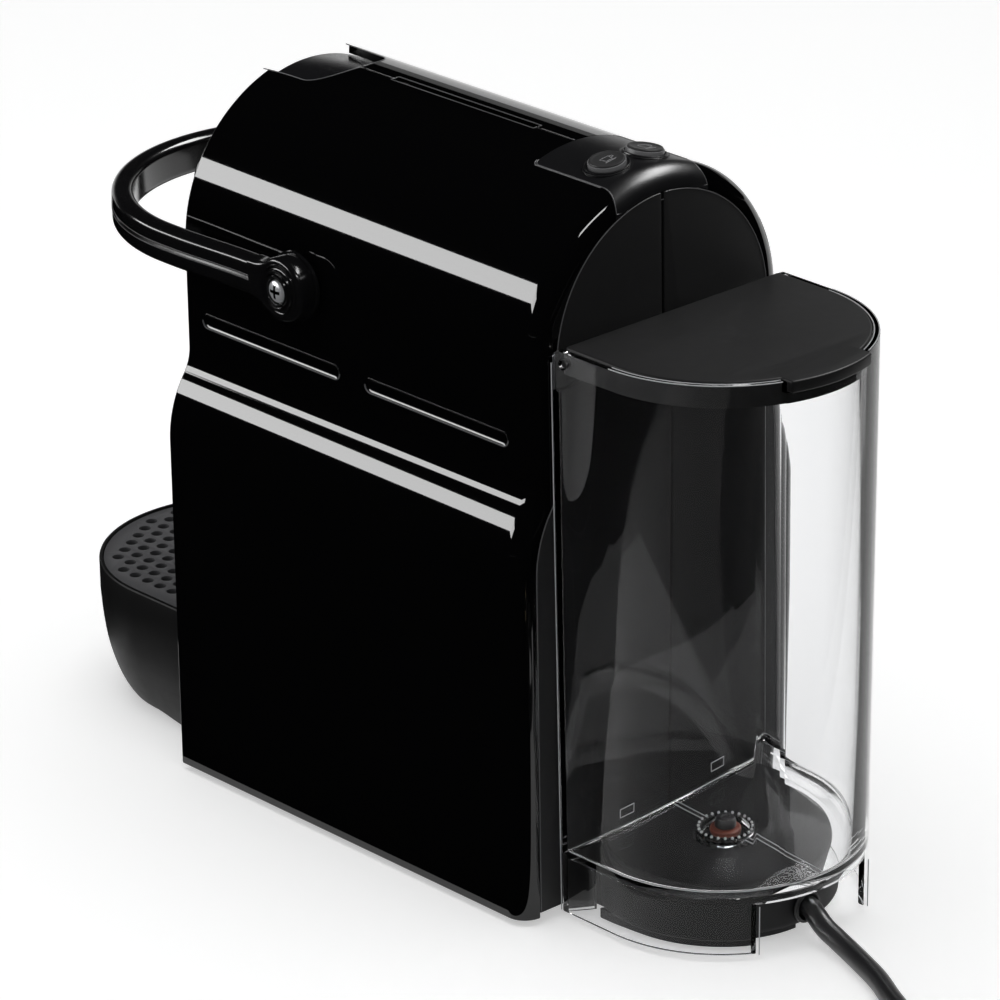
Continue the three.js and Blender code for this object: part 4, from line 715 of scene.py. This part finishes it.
# the hub's own turning: a flange against the cover, a barrel and three rounded rings round the screw's recess
hub_steps = [(0, 0.0515), (0.0106, 0.0515), (0.0108, 0.0517), (0.0108, 0.0528), (0.0106, 0.053), (0.0096, 0.0531),
             (0.0096, 0.056), (0.0083, 0.056), (0.0083, 0.0591), (0.0082, 0.0594), (0.0079, 0.0595),
             (0.0075, 0.0594), (0.00725, 0.0591), (0.007, 0.059), (0.0068, 0.0591), (0.00665, 0.0595),
             (0.0065, 0.0598), (0.0062, 0.0599), (0.0058, 0.0598), (0.0056, 0.0595), (0.0054, 0.0594),
             (0.0052, 0.0596), (0.0051, 0.06), (0.0049, 0.0603), (0.0046, 0.0604), (0.0043, 0.0603),
             (0.0041, 0.06), (0.004, 0.0595), (0.004, 0.0585), (0, 0.0585)]
hubs = []
for side in (1, -1):
    head = traced("head", [pivot + Vector((side * 0.052, u, v)) for u, v in head_plan])
    pushed(head, (side * 0.007, 0, 0))
    rounded(head, 0.0016, 5, lambda a, b: abs(a.x - b.x) < 0.00001 and max(a.y, b.y) > -0.0339)
    carved(lever, head, "UNION")
    carved(lever, rod("hub_seat", 0.0083, side * 0.05, side * 0.062, pivot, X, 72))
    hubs.append(paint(turned("hub", sided(hub_steps, side), pivot, X, 96), lever_black))
carved(lever, smooth(beaded("lever_groove", arm_line(0.00375, -0.0335), 0.0008)))
# pale beads along the groove's two lips are painted highlight lines
lips = [paint(beaded("lip", [p + Vector((0, 0, lip)) for p in arm_line(0.00345, -0.0335)], 0.00014), painted_edge_highlight)
        for lip in (0.00078, -0.00078)]
joined(paint(smooth(lever, 36), lever_black), *lips, *hubs)
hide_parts("lever")
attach(lever, "lever_arm")


# ---------------------------------------------------------------- lever screws
# Chromed pan-head screws with a cross recess, one in each hub, that hold the lever on its cranks.
chrome = finish_of("chromed_steel", (0.62, 0.63, 0.65), 0.16, (1200, 0.000006, 0.06), Metallic=1)
screw_steel = finish_of("screw_steel", (0.85, 0.86, 0.88), 0.3, (1200, 0.000006, 0.06), Metallic=0.6)
screw_profile = [(0, 0.044), (0.0018, 0.044), (0.0018, 0.0588), (0.0034, 0.0588), (0.0037, 0.059), (0.0037, 0.0593),
                 (0.0035, 0.0597), (0.003, 0.0601), (0.0022, 0.06045), (0.0012, 0.06065), (0, 0.0607)]
cross_long, cross_wide = 0.0022, 0.0005
for name, node, side in (("hub_screw_right", "lever_screw_right", 1), ("hub_screw_left", "lever_screw_left", -1)):
    screw = turned(name, sided(screw_profile, side), pivot, X, 48)
    face_place = pivot + Vector((side * 0.0605, 0, 0))
    for reach in (Vector((0.0016, cross_long, cross_wide)), Vector((0.0016, cross_wide, cross_long))):
        carved(screw, block("cross", face_place - reach, face_place + reach))
    paint(smooth(screw), screw_steel)
    # the faces inside the cross recess are painted gloss black: painted shade in the recess
    screw.data.materials.append(gloss_black)
    for face in screw.data.polygons:
        off = sorted((abs(face.center.y - pivot.y), abs(face.center.z - pivot.z)))
        if off[0] < cross_wide + 0.00002 and off[1] < cross_long + 0.00002 and abs(face.center.x) > 0.0588:
            face.material_index = 1
    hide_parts(node)
    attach(screw, "lever_arm")


# ---------------------------------------------------------------- front panel, brew head and outlet
# The panel is a satin plate behind the covers' front edge, open below for the capsule bin and above for the hatch.
# The glossy brew head is a shell on it, round at the front and the top, with a matt outlet pressed in from inside.
front_plate = body_solid("front_plate", 0.0028, 0.002, -0.0714, -0.0677, 2, 12)
for half, low, high in ((0.08, -0.01, 0.118), (0.0215, 0.2178, 0.24), (0.0056, 0.1529, 0.1619)):
    carved(front_plate, block("way", (-half, -0.08, low), (half, -0.06, high)))
paint(eased(front_plate, 0.0005), satin_black)
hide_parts("front_panel")
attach(front_plate, "chassis")


def brew_solid(name, inset, low, high, back):
    """The brew head's plan, straight at the back and half an ellipse at the front, raised between two heights."""
    half = 0.038 - inset
    return standing(name, mirrored([(half, back)], half_round(half, 0.028 - inset, -0.0757, 72)), low, high)


outlet_axis = (0, -0.09, 0)
brew_head = brew_solid("brew_head_shell", 0, 0.148, 0.196, -0.0717)
rounded(brew_head, 0.007, 10, lambda a, b: min(a.z, b.z) > 0.1959 and min(a.y, b.y) < -0.0718)
rounded(brew_head, 0.0007, 3, lambda a, b: max(a.z, b.z) < 0.1481 and min(a.y, b.y) < -0.0718)
carved(brew_head, brew_solid("head_cavity", 0.0024, 0.1504, 0.191, -0.06))
carved(brew_head, rod("outlet_hole", 0.0078, 0.146, 0.1524, outlet_axis, Z))
paint(smooth(brew_head), gloss_black)
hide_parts("brew_head")
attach(brew_head, "chassis")
outlet = turned("outlet", [(0.003, 0.1372), (0.0032, 0.137), (0.0056, 0.137), (0.0061, 0.1374), (0.0074, 0.1406),
                           (0.0075, 0.1414), (0.0075, 0.1507), (0.01, 0.1507), (0.01, 0.1525), (0.003, 0.1525),
                           (0.003, 0.1372)], outlet_axis, Z)
paint(outlet, matt_black)
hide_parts("coffee_outlet")
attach(outlet, "chassis")


# ---------------------------------------------------------------- capsule bin and cup shelf
# A satin black bin with 2 mm walls slides in over the tray's rear part; a slotted shelf for short cups is hinged on
# two lugs on its front and folds up against it.
def softened(node, name, width):
    """A merged copy of a CAD solid, its edges rounded."""
    piece = copied(frame["nodes"][node], name)
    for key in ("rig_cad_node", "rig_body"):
        if key in piece:
            del piece[key]
    piece.parent = None
    with editing(piece):
        bpy.ops.mesh.remove_doubles(threshold=0.00001)
        bpy.ops.mesh.dissolve_limited(angle_limit=radians(0.5))
    if width:
        eased(piece, width)
    return smooth(piece)


for node, name, width, body in (("capsule_container", "used_capsule_bin", 0.0007, "capsule_bin"),
                                ("cup_support", "cup_shelf_plate", 0.0005, "cup_shelf")):
    piece = paint(softened(node, name, width), satin_black)
    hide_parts(node)
    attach(piece, body)


# ---------------------------------------------------------------- drip tray
# A deep matt black scoop-shaped tray, half round at the front and tapering to its foot, that slides in on the base.
tray_black = finish_of("tray_matt_black", (0.0036, 0.0036, 0.004), 0.48, (2800, 0.00003, 0.05),
                       Specular_IOR_Level=0.2)


def levels_between(levels, steps):
    """Smooth levels through the given ones (height, front half width, rear half width)."""
    out = []
    for i in range(len(levels) - 1):
        near = [levels[min(max(i + k, 0), len(levels) - 1)] for k in (-1, 0, 1, 2)]
        out += [tuple(0.5 * (2 * q + (r - p) * t + (2 * p - 5 * q + 4 * r - w) * t * t
                             + (3 * q - p - 3 * r + w) * t ** 3) for p, q, r, w in zip(*near))
                for t in (s / steps for s in range(steps))]
    return out + [levels[-1]]


def lofted(name, loops):
    """A closed skin over flat outlines of equal point count, one above the other."""
    first = chain(name, loops[0] + [loops[0][0]])
    for loop in loops[1:]:
        joined(first, chain("level", loop + [loop[0]]))
    with editing(first):
        bpy.ops.mesh.remove_doubles(threshold=0.000001)
        bpy.ops.mesh.bridge_edge_loops(type="SINGLE")
        bpy.ops.mesh.select_all(action="DESELECT")
        bpy.ops.mesh.select_mode(type="EDGE")
        bpy.ops.mesh.select_non_manifold()
        bpy.ops.mesh.edge_face_add()
        bpy.ops.mesh.select_all(action="SELECT")
        bpy.ops.mesh.normals_make_consistent(inside=False)
    return first


tray_centre = -0.1115  # y of the middle of the tray's half round front


def scooped(front, rear, rear_y):
    """The tray's plan: half round at the front, straight to its rear corners."""
    return half_round(front, front, tray_centre) + [(-rear, rear_y), (rear, rear_y)]


def scooped_levels(levels, rear_y):
    """The tray's plans at levels given in millimetres (height, front half width, rear half width)."""
    return [[(x, y, z / 1000) for x, y in scooped(front / 1000, rear / 1000, rear_y)] for z, front, rear in levels]


hull = [(1, 36.5, 44), (2, 38.6, 44.4), (8, 42, 45.4), (17, 44.9, 46.1), (26, 46.4, 46.8), (36, 47.2, 47.2)]
lip = [(46.2, 47.2, 47.2), (46.6, 47.08, 47.08), (46.88, 46.82, 46.82), (47, 46.4, 46.4)]
hollow = [(4.2, 36.8, 42), (8, 39.6, 43), (17, 42.5, 43.7), (26, 44, 44.4), (36, 44.8, 44.8)]
tray = lofted("drip_tray_scoop", scooped_levels(levels_between(hull, 3) + lip, -0.0747))
carved(tray, block("tray_rear", (-0.046, -0.0757, 0.0065), (0.046, -0.018, 0.047)), "UNION")
carved(tray, block("base_way", (-0.08, -0.0747, -0.005), (0.08, -0.018, 0.0065)))
carved(tray, lofted("tray_hollow", scooped_levels(levels_between(hollow, 3) + [(52, 44.8, 44.8)], -0.0767)))
carved(tray, block("rear_hollow", (-0.0436, -0.0787, 0.0089), (0.0436, -0.0204, 0.052)))
carved(tray, standing("grid_seat", scooped(0.046, 0.046, -0.0762), 0.0435, 0.0535))
paint(smooth(tray, 30), tray_black)
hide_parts("drip_tray")
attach(tray, "tray")


# ---------------------------------------------------------------- drip grid
# A matt dark grey plate drilled with staggered round holes, each with a soft edge; it drops into the tray's rim.
grid_grey = finish_of("grid_grey", (0.088, 0.088, 0.093), 0.5, (3000, 0.00002, 0.05))
hole_pitch, hole_radius, grid_rear, holed_radius = 0.0062, 0.002, -0.0765, 0.0415
grid = standing("drip_grid_plate", scooped(0.0457, 0.0457, grid_rear), 0.0438, 0.0462)
drill = rod("drill", hole_radius, 0.04, 0.05, (0, 0, 0), Z, 16)
drills = []
for column in range(-8, 9):
    for row in range(14):
        x = column * hole_pitch * sqrt(3) / 2
        y = grid_rear - 0.0045 - hole_pitch * (row + (0.5 if column % 2 else 0))
        if hypot(x, min(0, y - tray_centre)) < holed_radius:
            drills.append(copied(drill, "drill_copy"))
            bpy.ops.transform.translate(value=(x, y, 0))
            bpy.ops.object.transform_apply(location=True, rotation=False, scale=False)
bpy.data.objects.remove(drill)
paint(eased(carved(grid, joined(*drills)), 0.0003, 2, 50), grid_grey)
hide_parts("drip_grid")
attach(grid, "grid")


# ---------------------------------------------------------------- base, dock and feet
# The base is one matt black moulding: a plate with upstands under the works, and behind it the round dock that the
# tank stands on, with a soft lower edge, a fine ring near its top, a foot rim below and the valve's socket in it.
def trimmed(piece, at, normal, fill=True):
    """Keeps the part of a piece that lies behind a plane."""
    with editing(piece):
        bpy.ops.mesh.bisect(plane_co=at, plane_no=normal, use_fill=fill, clear_outer=True)
    return piece


joint = (0, 0.0869, 0)
base = smooth(trimmed(softened("base", "base_moulding", 0), joint, Y))
round_y = 0.1116
dock_centre = (0, round_y, 0)
dock = turned("dock", [(0, 0.0038), (0.0331, 0.0038), (0.034, 0.00395), (0.0348, 0.0044), (0.03514, 0.0051),
                       (0.03523, 0.0059), (0.03523, 0.0163), (0.03505, 0.0165), (0.03505, 0.0169), (0.03523, 0.0171),
                       (0.03523, 0.0187), (0.0351, 0.0193), (0.0347, 0.0198), (0.0341, 0.02), (0, 0.02)],
              dock_centre, Z, 128)
carved(dock, block("neck", (-0.02803, 0.08, 0.0038), (0.02803, 0.0953, 0.02)), "UNION")
rim = 0.03253
plinth_plan = mirrored([(rim, 0.094)], half_round(rim, rim, round_y, 96, 1))
plinth = eased(standing("plinth", plinth_plan, 0.0014, 0.0048), 0.0004)
carved(plinth, block("cord_notch", (-0.007, 0.1316, 0.0), (0.0012, 0.1516, 0.0038)))
carved(dock, plinth, "UNION")
carved(dock, turned("dock_hollow", [(0, -0.002), (0.03, -0.002), (0.03, 0.0063), (0.03273, 0.0063),
                                    (0.03273, 0.0175), (0, 0.0175)], dock_centre, Z, 96))
trimmed(dock, joint, (0, -1, 0))
stub_axis = (0, 0.1128, 0)
carved(dock, rod("socket_wall", 0.0118, 0.008, 0.019, stub_axis, Z), "UNION")
carved(dock, turned("socket_bore", [(0, 0.01), (0.0095, 0.01), (0.0095, 0.0185), (0.0105, 0.0205), (0, 0.0205)],
                    stub_axis, Z))
carved(dock, rod("gland_hole", 0.0045, 0.1316, 0.1716, (0, 0, 0.0096), Y, 48))
pin = turned("valve_pin", [(0, 0.0095), (0.0014, 0.0095), (0.0014, 0.0143), (0.001, 0.0147), (0, 0.0147)],
             stub_axis, Z, 24)
smooth(dock, 36)
joined(*[paint(piece, matt_black) for piece in (base, dock, pin)])
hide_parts("base")
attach(base, "chassis")

foot_rubber = finish_of("foot_rubber", (0.014, 0.014, 0.014), 0.85, (1800, 0.00004, 0.05))
foot_profile = [(0, 0), (0.0058, 0), (0.0065, 0.0002), (0.007, 0.0009), (0.007, 0.0023), (0.0014, 0.0023),
                (0.0014, 0.0042), (0, 0.0042)]
for node in ("foot_front_right", "foot_front_left", "foot_rear_right", "foot_rear_left"):
    low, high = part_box(node)
    middle = (low + high) / 2
    foot = paint(turned(node.replace("foot", "pad"), foot_profile, (middle.x, middle.y, 0), Z, 48), foot_rubber)
    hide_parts(node)
    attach(foot, "chassis")


# ---------------------------------------------------------------- water tank
# A clear moulded tank, D-shaped in plan and a little narrower at the foot: 2.1 mm walls, a skirt below the floor
# that fits round the dock, a tubular stub for the valve, a rib under the floor and holes for the lid's pins.
clear_tank = finish_of("clear_tank", (0.955, 0.957, 0.962), 0.0, Transmission_Weight=1.0, IOR=1.5,
                       Specular_Tint=(0.08, 0.08, 0.08, 1))
tree = clear_tank.node_tree
place = wired(tree, "TexCoord").outputs["Object"]
flow = wired(tree, "TexNoise", Vector=place, Scale=55, Detail=1)
flow_bump = wired(tree, "Bump", Distance=0.00001, Height=flow.outputs["Fac"])
tree.links.new(flow_bump.outputs["Normal"], tree.nodes["Principled BSDF"].inputs["Normal"])
tank_half, tank_wall, tank_front, tank_rim, skirt_foot = 0.0463, 0.0021, 0.0873, 0.1856, 0.0022


def narrowing(z):
    """Size of the tank's plan at a height, as a share of its size at the rim."""
    return 1 - 0.036 * (tank_rim - z) / (tank_rim - skirt_foot)


def d_plan(half, front, corner):
    """D in plan: flat at the front with small corner radii, half round at the rear."""
    side = [(half - corner * (1 - sin(a)), front + corner * (1 - cos(a))) for a in (pi / 2 * i / 5 for i in range(6))]
    return mirrored(side, half_round(half, half, round_y, 128, 1))


def tank_plan(inset, z, corner):
    """Plan of the tank at a height, set in by inset; it narrows about the flat wall."""
    share = narrowing(z)
    return [Vector((x * share, tank_front + (y - tank_front) * share, z))
            for x, y in d_plan(tank_half - inset, tank_front + inset, corner)]


def tower(name, inset, low, high, corner):
    """The tank's plan run from high down to low while it narrows."""
    piece = traced(name, tank_plan(inset, high, corner))
    with editing(piece):
        bpy.ops.mesh.extrude_region_move(TRANSFORM_OT_translate={"value": (0, 0, low - high)})
        share = narrowing(low) / narrowing(high)
        bpy.ops.transform.resize(value=(share, share, 1), center_override=(0, tank_front, low))
        bpy.ops.mesh.select_all(action="SELECT")
        bpy.ops.mesh.normals_make_consistent(inside=False)
    return piece


tank = tower("clear_water_tank", 0, skirt_foot, tank_rim, 0.0014)
carved(tank, rounded(tower("tank_space", tank_wall, 0.0228, 0.1906, 0.0006), 0.0012, 4,
                     lambda a, b: max(a.z, b.z) < 0.02281))
carved(tank, rounded(tower("skirt_space", tank_wall, -0.0028, 0.0207, 0.0006), 0.0006, 3,
                     lambda a, b: min(a.z, b.z) > 0.02069))
stub = [(0, 0.014), (0.009, 0.014), (0.0092, 0.0142), (0.0092, 0.0234), (0.009, 0.0236), (0, 0.0236)]
carved(tank, turned("stub", stub, stub_axis, Z, 72), "UNION")
rounded(tank, 0.00045, 3, lambda a, b: min(a.z, b.z) > 0.18559 or max(a.z, b.z) < 0.00221, 60)
front_step = [(0.0823, 0.1906), (0.0823, 0.1811), (0.0873, 0.1811)]
front_step += [(0.0918 - 0.0045 * cos(a), 0.1811 + 0.0045 * sin(a)) for a in (pi / 2 * i / 12 for i in range(13))]
front_step.append((0.0918, 0.1906))
carved(tank, pushed(traced("corner_tool", [(-0.06, y, z) for y, z in front_step]), (0.12, 0, 0)))
# ways cut out: the flat wall's top, the notch for the lid's tab, the lead's notch in the skirt, the dock's neck
for half, front, rear, low, high in (
        (0.0442, 0.0853, 0.0933, 0.172, 0.1906), (0.0166, 0.1416, 0.1716, 0.182, 0.1906),
        (0.023, 0.1316, 0.1716, -0.003, 0.0187), (0.02883, 0.0853, 0.0933, -0.003, 0.0203)):
    carved(tank, block("way", (-half, front, low), (half, rear, high)))
recess = [(0, 0.0214), (0.007, 0.0214), (0.0074, 0.0218), (0.0074, 0.1), (0, 0.1)]
carved(tank, turned("recess", recess, stub_axis, Z, 72))
carved(tank, rod("stub_bore", 0.007, 0.012, 0.0202, stub_axis, Z, 72))
carved(tank, rod("throat", 0.0036, 0.012, 0.1, stub_axis, Z, 48))
hinge_axis = (0, 0.0924, 0.1815)
for side in (1, -1):
    carved(tank, rod("pin_hole", 0.0016, side * 0.0426, side * 0.0476, hinge_axis, X, 32))
spine = eased(block("spine", (-0.001, 0.0893, 0.0197), (0.001, 0.1539, 0.02066)), 0.0003)

# painted highlights: pale beads on the clear plastic's edges stand in for the light they catch: rim, floor, foot,
# corners, rib and two small marks
painted_tank_highlight = finish_of("painted_tank_highlight", (0.52, 0.53, 0.54), 0.22, (900, 0.000004, 0.05))
floor_top, rim_reach, edge_line, rib_line = 0.0229, 0.0002, 0.00018, 0.00016


def round_wall(inset, z):
    """A line round the curved wall of the tank at a height."""
    return [p for p in tank_plan(inset, z, 0.0014) if p.y > tank_front + (0.0925 - tank_front) * narrowing(z)]


fine = []
for inset in (0.0003, 0.0018):
    rim = [p for p in round_wall(inset, 0.18555) if abs(p.x) > 0.0168 or p.y < 0.14]
    fine += [beaded("rim_edge", [p for p in rim if p.x * side > 0], rim_reach) for side in (1, -1)]
for side in (1, -1):
    foot = [p for p in round_wall(0.0003, 0.0024) if p.x * side > 0.0233 or (p.y < 0.13 and p.x * side > 0)]
    notch = [(side * 0.0231, 0.1505, 0.0026), (side * 0.0231, 0.1507, 0.0185)]
    corner = [(side * 0.0461, tank_front + 0.0002, 0.1808), (side * 0.0446, tank_front + 0.0002, 0.0026)]
    fine += [beaded("foot_edge", foot, edge_line), beaded("notch_edge", notch, edge_line),
             beaded("corner_edge", corner, edge_line)]
fine.append(beaded("floor_edge", tank_plan(0.0024, floor_top, 0.0014), edge_line, True))
for x in (0.0009, -0.0009):
    fine += [beaded("rib_edge", [(x, front, floor_top), (x, rear, floor_top)], rib_line)
             for front, rear in ((0.0897, 0.1036), (0.1222, 0.1537))]
for x in (0.0195, -0.0195):
    mark = [(x + u, 0.08945, 0.0272 + v)
            for u, v in ((-0.0028, -0.0013), (0.0028, -0.0013), (0.0028, 0.0013), (-0.0028, 0.0013))]
    fine.append(beaded("moulded_mark", mark, rib_line, True))
# a ring of small pale beads round the stub's top, painted highlights as well
bead = [(0, -0.0005), (0.00035, -0.0004), (0.0005, 0), (0.00035, 0.0004), (0, 0.0005)]
for a in (pi * i / 12 for i in range(24)):
    place = (0.0083 * cos(a), stub_axis[1] + 0.0083 * sin(a), 0.0237)
    fine.append(turned("bead", bead, place, Z, 10))
# all the fine beads above are painted pale: painted highlights on the clear tank
joined(paint(smooth(tank, 28), clear_tank), paint(spine, clear_tank), *[paint(piece, painted_tank_highlight) for piece in fine])
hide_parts("water_tank")
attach(tank, "tank")


# ---------------------------------------------------------------- tank lid
# A matt black lid inside the tank's rim with a skirt below, a finger tab over the rear of the rim, and two pins at
# the front that it swings on.
lid_matt = finish_of("lid_matt_black", (0.0085, 0.0085, 0.009), 0.46, (3400, 0.00002, 0.04, 0.48),
                     Specular_IOR_Level=0.32)


def lid_slab(name, inset, low, high):
    """The lid's plan, set in by inset, between two heights."""
    return standing(name, d_plan(0.0439 - inset, 0.091 + inset, 0.0012), low, high)


lid = rounded(lid_slab("tank_lid_plate", 0, 0.1781, 0.1861), 0.0006, 4, lambda a, b: min(a.z, b.z) > 0.18609)
carved(lid, lid_slab("lid_hollow", 0.002, 0.1731, 0.1835))
tab_half, tab_reach = 0.0163, 0.048
tab_angle = acos(tab_half / tab_reach)
tab_arc = [(tab_reach * cos(a), round_y + tab_reach * sin(a))
           for a in (tab_angle + (pi - 2 * tab_angle) * i / 24 for i in range(25))]
tab = standing("lid_tab", mirrored([(tab_half, 0.1456)], tab_arc), 0.1823, 0.1861)
carved(lid, eased(tab, 0.0006, 4), "UNION")
carved(lid, lid_slab("under_tab", 0.002, 0.1731, 0.1835))
lid_pin = [(0, 0.0406), (0.0013, 0.0406), (0.0013, 0.0452), (0.001, 0.0456), (0, 0.0456)]
for side in (1, -1):
    carved(lid, turned("lid_pin", sided(lid_pin, side), hinge_axis, X, 32), "UNION")
paint(smooth(lid, 34), lid_matt)
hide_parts("tank_lid")
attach(lid, "lid")


# ---------------------------------------------------------------- tank valve
# A black plunger hangs through the tank's throat with a red-brown rubber seal on it and a steel spring below.
plunger = turned("valve_stem", [(0, 0.015), (0.0044, 0.015), (0.0046, 0.0152), (0.0046, 0.016), (0.0044, 0.0162),
                                (0.0019, 0.0162), (0.0019, 0.024), (0.0033, 0.024), (0.00335, 0.0244),
                                (0.0032, 0.0258), (0.0028, 0.0265), (0.0022, 0.0267), (0.0014, 0.0267),
                                (0.0011, 0.0263), (0, 0.0262)], stub_axis, Z)
paint(plunger, satin_black)
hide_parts("valve_plunger")
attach(plunger, "valve")
seal_red = finish_of("seal_rubber", (0.16, 0.038, 0.02), 0.45, (1500, 0.00002, 0.06))
seal_profile = [(0.0022, 0.0217), (0.0043, 0.0217), (0.0047, 0.022), (0.0049, 0.0226), (0.0048, 0.0233),
                (0.0043, 0.0237), (0.0022, 0.0237), (0.0022, 0.0217)]
seal = paint(turned("valve_seal_ring", seal_profile, stub_axis, Z), seal_red)
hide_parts("valve_seal")
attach(seal, "valve")
paint(frame["nodes"]["valve_spring"], chrome)


# ---------------------------------------------------------------- works inside the covers
# The brewing unit, pump, heater, flow meter, circuit board and hoses stay as built; each gets its own finish.
aluminium = finish_of("cast_aluminium", (0.42, 0.43, 0.44), 0.4, (1400, 0.00004, 0.08), Metallic=1)
white_plastic = finish_of("white_plastic", (0.68, 0.67, 0.63), 0.5, (1800, 0.00002, 0.06))
board_green = finish_of("board_green", (0.014, 0.1, 0.037), 0.5, (700, 0.00002, 0.1))
hose_clear = finish_of("hose_silicone", (0.62, 0.6, 0.53), 0.38, (900, 0.00001, 0.06))
works = {satin_black: ["capsule_cage"], matt_black: ["brew_frame", "capsule_chute"], board_green: ["circuit_board"],
         aluminium: ["extraction_plate", "heater", "toggle_link_right", "toggle_link_left", "crank_right",
                     "crank_left"],
         white_plastic: ["pump", "flow_meter"], foot_rubber: ["pump_mount_front", "pump_mount_rear"],
         hose_clear: ["hose_dock_to_pump", "hose_pump_to_heater", "hose_heater_to_brew"]}
for material, nodes in works.items():
    for node in nodes:
        paint(frame["nodes"][node], material)


# ---------------------------------------------------------------- table, backdrop and light
# A wide pale table and a low white wall far behind it, a soft overhead lamp, one long strip lamp at the machine's
# right front and two smaller ones above the tank for the gloss, and black studio flags that keep the gloss dark.
def seen_straight(tree):
    """A socket that is 1 for what the camera sees directly, in gloss or through the tank."""
    rays = wired(tree, "LightPath").outputs
    seen = wired(tree, "Math", "MAXIMUM", _0=rays["Is Camera Ray"], _1=rays["Is Glossy Ray"]).outputs[0]
    return wired(tree, "Math", "MAXIMUM", _0=seen, _1=rays["Is Transmission Ray"]).outputs[0]


def backdrop(name, grey=0.82, level=0.45):
    """Pale matt surface that reads as white to the eye, in gloss and through the tank, and keeps its shadows."""
    material = bpy.data.materials.new(name)
    material.use_nodes = True
    tree = material.node_tree
    tree.nodes.remove(tree.nodes["Principled BSDF"])
    matt = wired(tree, "BsdfDiffuse", Color=(grey, grey, grey, 1))
    strength = wired(tree, "Math", "MULTIPLY", _0=seen_straight(tree), _1=level).outputs[0]
    glow = wired(tree, "Emission", Strength=strength)
    both = wired(tree, "AddShader", _0=matt.outputs[0], _1=glow.outputs[0])
    tree.links.new(both.outputs[0], tree.nodes["Material Output"].inputs["Surface"])
    material.cycles.emission_sampling = "NONE"
    return material


bpy.ops.mesh.primitive_plane_add(size=14)
table = bpy.context.object
table.name = "table"
paint(table, backdrop("table_white"))

wall_way = Vector((-0.7, -0.71, 0)).normalized()
for name, material, height, centre_height in (("wall", backdrop("wall_white"), 0.5, 0.25),
                                              ("upper_wall", backdrop("wall_grey", 0.22, 0.12), 0.34, 0.67)):
    bpy.ops.mesh.primitive_plane_add(size=1)
    sheet = bpy.context.object
    sheet.name = name
    sheet.scale = (5.0, height, 1)
    sheet.rotation_euler = (-wall_way).to_track_quat("Z", "Y").to_euler()
    sheet.location = (*(wall_way * 3.2).xy, centre_height)
    paint(sheet, material)

flag_black = finish_of("flag_black", (0, 0, 0), 0.5, Specular_IOR_Level=0)


def flagged(flag, name):
    """A flag is seen only in gloss: it hides nothing from the camera and takes no light from the machine."""
    flag.name = name
    paint(flag, flag_black)
    flag.visible_camera = flag.visible_diffuse = flag.visible_shadow = flag.visible_transmission = False
    return flag


for name, low, high in (("floor_flag_right", (0.065, -5.5), (5.5, 5.5)),
                        ("floor_flag_left", (-0.75, -0.32), (-0.2, -0.2)),
                        ("floor_flag_front", (-0.2, -1.5), (0.065, -0.17)),
                        ("floor_flag_rear", (-5.5, 0.3), (0.065, 5.5)),
                        ("floor_flag_tank", (-5.5, 0.21), (0.9, 5.5))):
    bpy.ops.mesh.primitive_plane_add(size=1, location=((low[0] + high[0]) / 2, (low[1] + high[1]) / 2, 0.0006))
    flag = flagged(bpy.context.object, name)
    flag.scale = (high[0] - low[0], high[1] - low[1], 1)
# the last one, on the table behind the machine, is seen only through the clear tank
flag.visible_glossy, flag.visible_transmission = False, True
bpy.ops.mesh.primitive_uv_sphere_add(segments=48, ring_count=24, radius=6)
flagged(trimmed(bpy.context.object, (0, 0, 0.002), (0, 0, -1), fill=False), "dome_flag")

world = bpy.data.worlds.new("studio")
bpy.context.scene.world = world
world.use_nodes = True
world.cycles.sampling_method = "NONE"
tree = world.node_tree
ambient = tree.nodes["Background"]
ambient.inputs["Color"].default_value = (1, 1, 1, 1)
ambient.inputs["Strength"].default_value = 0.34
white = wired(tree, "Background", Color=(1, 1, 1, 1), Strength=1)
mix = wired(tree, "MixShader", Fac=seen_straight(tree), _1=ambient.outputs[0], _2=white.outputs[0])
tree.links.new(mix.outputs[0], tree.nodes["World Output"].inputs["Surface"])

# soft lamps aimed at the machine's middle; the last value says that a lamp is seen in gloss only
for name, towards, distance, size, power, gloss_only in (
        ("overhead", (0.05, -0.05, 1), 1.6, (1.5, 1.5), 15, False),
        ("strip", (2.48, -2.53, 1.035), 3.69, (3.15, 0.62), 65, True),
        ("top_strip", (0.12, 0.6, 0.79), 1.5, (0.6, 0.13), 3.4, True),
        ("rear_soft", (-0.62, 0.18, 0.76), 1.5, (0.9, 0.45), 24, True)):
    towards = Vector(towards).normalized()
    bpy.ops.object.light_add(type="AREA", location=Vector((0, 0, 0.15)) + towards * distance)
    light = bpy.context.object
    light.name = name
    light.rotation_euler = towards.to_track_quat("Z", "Y").to_euler()
    light.data.shape = "RECTANGLE"
    light.data.size, light.data.size_y = size
    light.data.energy = power
    light.visible_diffuse, light.visible_glossy = not gloss_only, gloss_only
